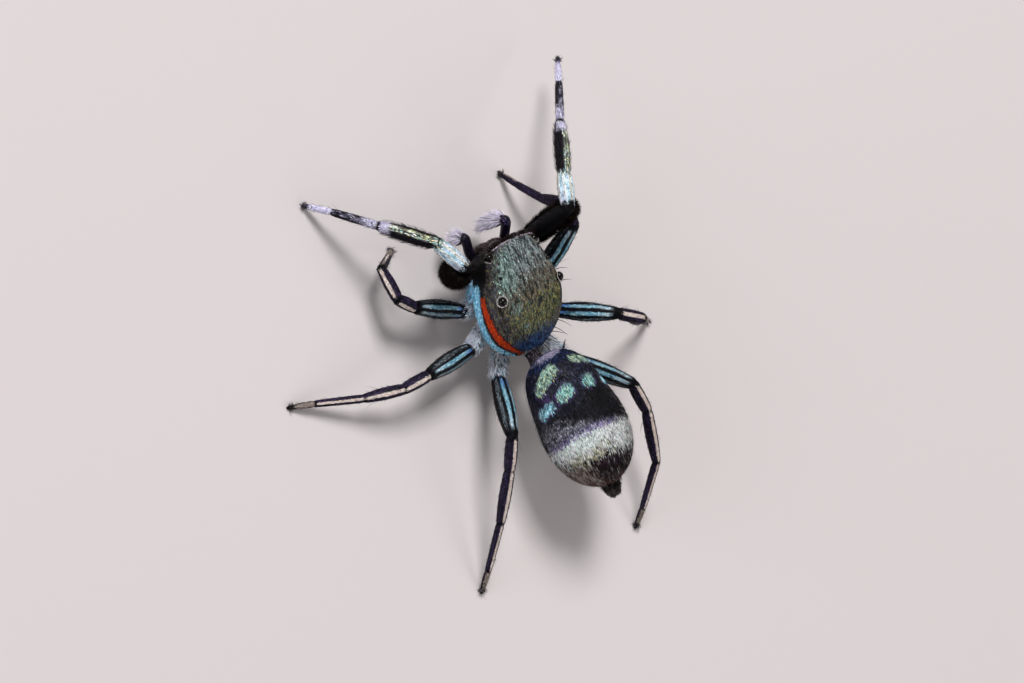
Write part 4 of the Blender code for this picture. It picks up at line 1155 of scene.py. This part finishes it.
lay_tufts("long_bristles", bristle_material, "carapace", bristle_roots, -bristle_ups, bristle_lies,
          bristle_reaches, 0.017, linear("0b090a"), shield_unwrap(bristle_roots), lift=0.0, curl=0.3,
          sink=0.0, shape=((-0.05, 1.0), (0.2, 0.95), (0.45, 0.8), (0.7, 0.6), (0.85, 0.4)), flatness=0.85)

# Brushes of the front thighs
# A dense fan of long black hairs stands under each front thigh, which the male waves. The hairs
# root in the skin along the whole thigh, longest below and in the middle, and lean to the knee.
BRUSH_ROLL = {"left": 36.0, "right": -58.0}
BRUSH_REACH = {"left": 0.37, "right": 0.31}
BRUSH_HAIRS = 5000
BRUSH_ROOT_RADIUS = 0.15
# Black pigment hairs: flat black from every side
velvet_black = hair_material("black_velvet_hairs", 1.0, 0.0, specular=0.05)
for side in ("left", "right"):
    joints = leg_joints(side, 1)
    hip, knee = joints[1], joints[2]
    way = (knee - hip).normalized()
    keel = Matrix.Rotation(math.radians(BRUSH_ROLL[side]), 3, way) @ -upward(way)
    across = way.cross(keel)
    f = draw.uniform(0.03, 0.95, BRUSH_HAIRS)
    swing = np.radians(draw.normal(0, 46, BRUSH_HAIRS))
    fan = np.cos(swing)[:, None] * np.array(keel) + np.sin(swing)[:, None] * np.array(across)
    roots = np.array(hip) + np.outer(f, np.array(knee - hip)) + fan * BRUSH_ROOT_RADIUS
    reach = BRUSH_REACH[side] * (0.35 + 0.65 * np.cos(np.clip(swing, -1.5, 1.5))**0.6)
    reach *= np.sin(math.pi * (0.12 + 0.80 * f))**0.6 * draw.uniform(0.75, 1.12, BRUSH_HAIRS)
    lean = fan * 0.86 + np.array(way) * 0.5 + draw.normal(0, 0.09, (BRUSH_HAIRS, 3))
    lay_long_hairs(f"leg_1_{side}_brush", velvet_black, "femur", roots, way, lean, reach, 0.014,
                   pick(draw, "0c0908 70, 1a1310 22, 33261f 8", BRUSH_HAIRS),
                   np.stack([0.05 + 0.9 * f, 0.5 + swing / 7], 1), lift=1.0, curl=0.55, sink=0.0)

# Palps
# Two short feelers beside the jaws. Their skin is dark purple, and the end carries a fluffy
# tuft of lilac-white hairs over a dark bulb.
PALP_STEPS = 28
PALP_SIDES = 20
PALP_HAIRS_PER_MM2 = 2200
# Share of the length and radius
PALP_WIDTHS = ((0.0, 0.08), (0.2, 0.095), (0.45, 0.10), (0.55, 0.095), (0.75, 0.115), (0.9, 0.10),
               (1.0, 0.03))
# Points along the upper and the lower length
PALP_PATHS = {
    "right": (((0.30, 0.76, -0.30), (0.44, 1.00, -0.21), (0.46, 1.20, -0.07), (0.43, 1.38, 0.07)),
              ((0.43, 1.38, 0.07), (0.39, 1.41, -0.08), (0.32, 1.39, -0.30), (0.24, 1.34, -0.52))),
    "left": (((-0.30, 0.76, -0.30), (-0.44, 1.00, -0.24), (-0.48, 1.18, -0.18), (-0.52, 1.34, -0.13)),
             ((-0.52, 1.34, -0.13), (-0.55, 1.37, -0.21), (-0.57, 1.35, -0.33), (-0.575, 1.29, -0.46))),
}


def palp_colours(places, seed):
    """Violet-black palp skin."""
    return pick(np.random.default_rng(seed), "120e18 50, 251b3a 20, 0d0a10 30", len(places))


# Bare hard cuticle, violet black and glossy between the hairs
palp_cuticle = cuticle_material("violet_black_cuticle", 0.3, 0.03, 0.004)
for side, (upper, lower) in PALP_PATHS.items():
    points = [Vector(p) for p in upper + lower[1:]]
    knots = [(i / (len(points) - 1), *p) for i, p in enumerate(points)]
    rings, middles, forwards = [], [], []
    for i in range(PALP_STEPS + 1):
        f = i / PALP_STEPS
        here = Vector(flow(knots, f))
        ahead = (Vector(flow(knots, f + 0.02)) - Vector(flow(knots, f - 0.02))).normalized()
        across = ahead.cross(Vector((1, 0, 0))).normalized()
        radius = flow(PALP_WIDTHS, f)[0]
        rings.append(oval(here, across * radius, ahead.cross(across) * radius, PALP_SIDES))
        middles.append(here)
        forwards.append(ahead)
    palp = bmesh.new()
    sweep(palp, rings)
    shell = palp.copy()
    write_skin(f"palp_{side}_skin", palp, palp_cuticle, palp_colours,
               [f"palp_{side}_upper", f"palp_{side}_lower"])
    roots, outs = scatter(shell, PALP_HAIRS_PER_MM2, 70)
    nearest = np.linalg.norm(roots[:, None] - np.array(middles), axis=2).argmin(1)
    f = nearest / PALP_STEPS
    count = len(roots)
    lies = np.array(forwards)[nearest] + draw.normal(0, 0.15, (count, 3))
    white = pick(draw, "dcd3e1 54, a99db6 16, f3eef5 26, 2a2230 4", count)
    dark = pick(draw, "141019 42, 33264c 20, 7a62a8 12, 0d0a10 26", count)
    if side == "left":
        # The left palp is painted blacker and less violet than the right one: painted shade, as it lies in
        # the shadow of the shield
        dark = dark * (0.55, 0.5, 0.35)
    bulb = pick(draw, "1c1211 50, 33211c 50", count)
    dark = lay_over(draw, dark, (bulb, step(0.60, 0.68, f)))
    fluffy = step(0.52, 0.60, f) * (outs[:, 1] > -0.5)
    unwrap = np.stack([0.02 + 0.96 * f, 0.5 + 0.48 * outs[:, 0]], 1)
    lay_tufts(f"palp_{side}_coat", leg_hair, "palp", roots, outs, lies,
              draw.uniform(0.05, 0.09, count), 0.011, lay_over(draw, dark, (white, fluffy)), unwrap,
              lift=0.25, curl=0.1)
    tuft = (fluffy > 0.5) & (draw.random(count) < 0.9)
    count = tuft.sum()
    lay_long_hairs(f"palp_{side}_tuft", white_material, "palp", roots[tuft], outs[tuft], lies[tuft],
                   draw.uniform(0.12, 0.24, count), 0.0095, white[tuft], unwrap[tuft], lift=0.9,
                   curl=0.2)

# Floor
# A plain pale sheet, as matt as painted board, lies under the model, so that its feet stand on
# something and its shadow shows. It is there for the picture and is no part of the model.
FLOOR_HALF_SIZE = 0.6
floor_mesh = bmesh.new()
bmesh.ops.create_grid(floor_mesh, x_segments=1, y_segments=1, size=FLOOR_HALF_SIZE)
mesh = bpy.data.meshes.new("floor")
floor_mesh.to_mesh(mesh)
floor_mesh.free()
floor = bpy.data.objects.new("floor", mesh)
bpy.context.scene.collection.objects.link(floor)
floor_material = bpy.data.materials.new("pale_floor")
floor_material.use_nodes = True
floor_shader = floor_material.node_tree.nodes["Principled BSDF"]
floor_shader.inputs["Base Color"].default_value = (*linear("c9c0bb"), 1)
floor_shader.inputs["Roughness"].default_value = 0.9
mesh.materials.append(floor_material)

# Light and camera
# Three soft square lights stand at the upper right, the left and behind, in a pale even room.
# A long lens looks down over the left side, turned with the model so that its floor is level.
VIEW_RIGHT = Vector((0.7326, -0.3109, 0.6055))
VIEW_UP = Vector((0.3368, 0.9386, 0.0745))
VIEW_BACK = Vector((-0.5916, 0.1494, 0.7923))
CAMERA_DISTANCE = 140
CAMERA_RIGHT = 0.0734
CAMERA_DOWN = 0.962
SENSOR_WIDTH = 36.0
LENS_PIXELS = 7056
PHOTO_WIDTH = 1024


def soft_light(name, way, distance, size, watts, tint):
    """A square light that looks at the animal from a direction."""
    lamp = bpy.data.lights.new(name, "AREA")
    lamp.size = size
    lamp.energy = watts
    lamp.color = linear(tint)
    item = bpy.data.objects.new(name, lamp)
    way = way.normalized()
    item.location = BODY_PLACE * MM + way * distance
    item.rotation_euler = way.to_track_quat("Z", "Y").to_euler()
    bpy.context.scene.collection.objects.link(item)


soft_light("key", VIEW_UP * 0.9 + VIEW_BACK * 0.9 + VIEW_RIGHT * 0.35, distance=0.3, size=0.10,
           watts=1.0, tint="f8f9ff")
soft_light("fill", VIEW_BACK - VIEW_RIGHT * 0.9, distance=0.35, size=0.25, watts=0.85, tint="eef3ff")
soft_light("rim", Vector((0.6, -0.9, 0.9)), distance=0.35, size=0.2, watts=0.35, tint="ffffff")
bpy.context.scene.view_settings.view_transform = "Standard"
world = bpy.data.worlds.new("studio")
bpy.context.scene.world = world
world.use_nodes = True
world.node_tree.nodes["Background"].inputs["Color"].default_value = (*linear("e6e8ee"), 1)
world.node_tree.nodes["Background"].inputs["Strength"].default_value = 0.26
camera_data = bpy.data.cameras.new("camera")
camera_data.sensor_width = SENSOR_WIDTH
camera_data.lens = SENSOR_WIDTH * LENS_PIXELS / PHOTO_WIDTH
camera_data.clip_start = 0.005
camera_data.clip_end = 5.0
camera = bpy.data.objects.new("camera", camera_data)
bpy.context.scene.collection.objects.link(camera)
camera_place = VIEW_BACK * CAMERA_DISTANCE + VIEW_RIGHT * CAMERA_RIGHT - VIEW_UP * CAMERA_DOWN
camera.location = (camera_place + BODY_PLACE) * MM
camera.rotation_euler = Matrix((VIEW_RIGHT, VIEW_UP, VIEW_BACK)).transposed().to_euler()
bpy.context.scene.camera = camera
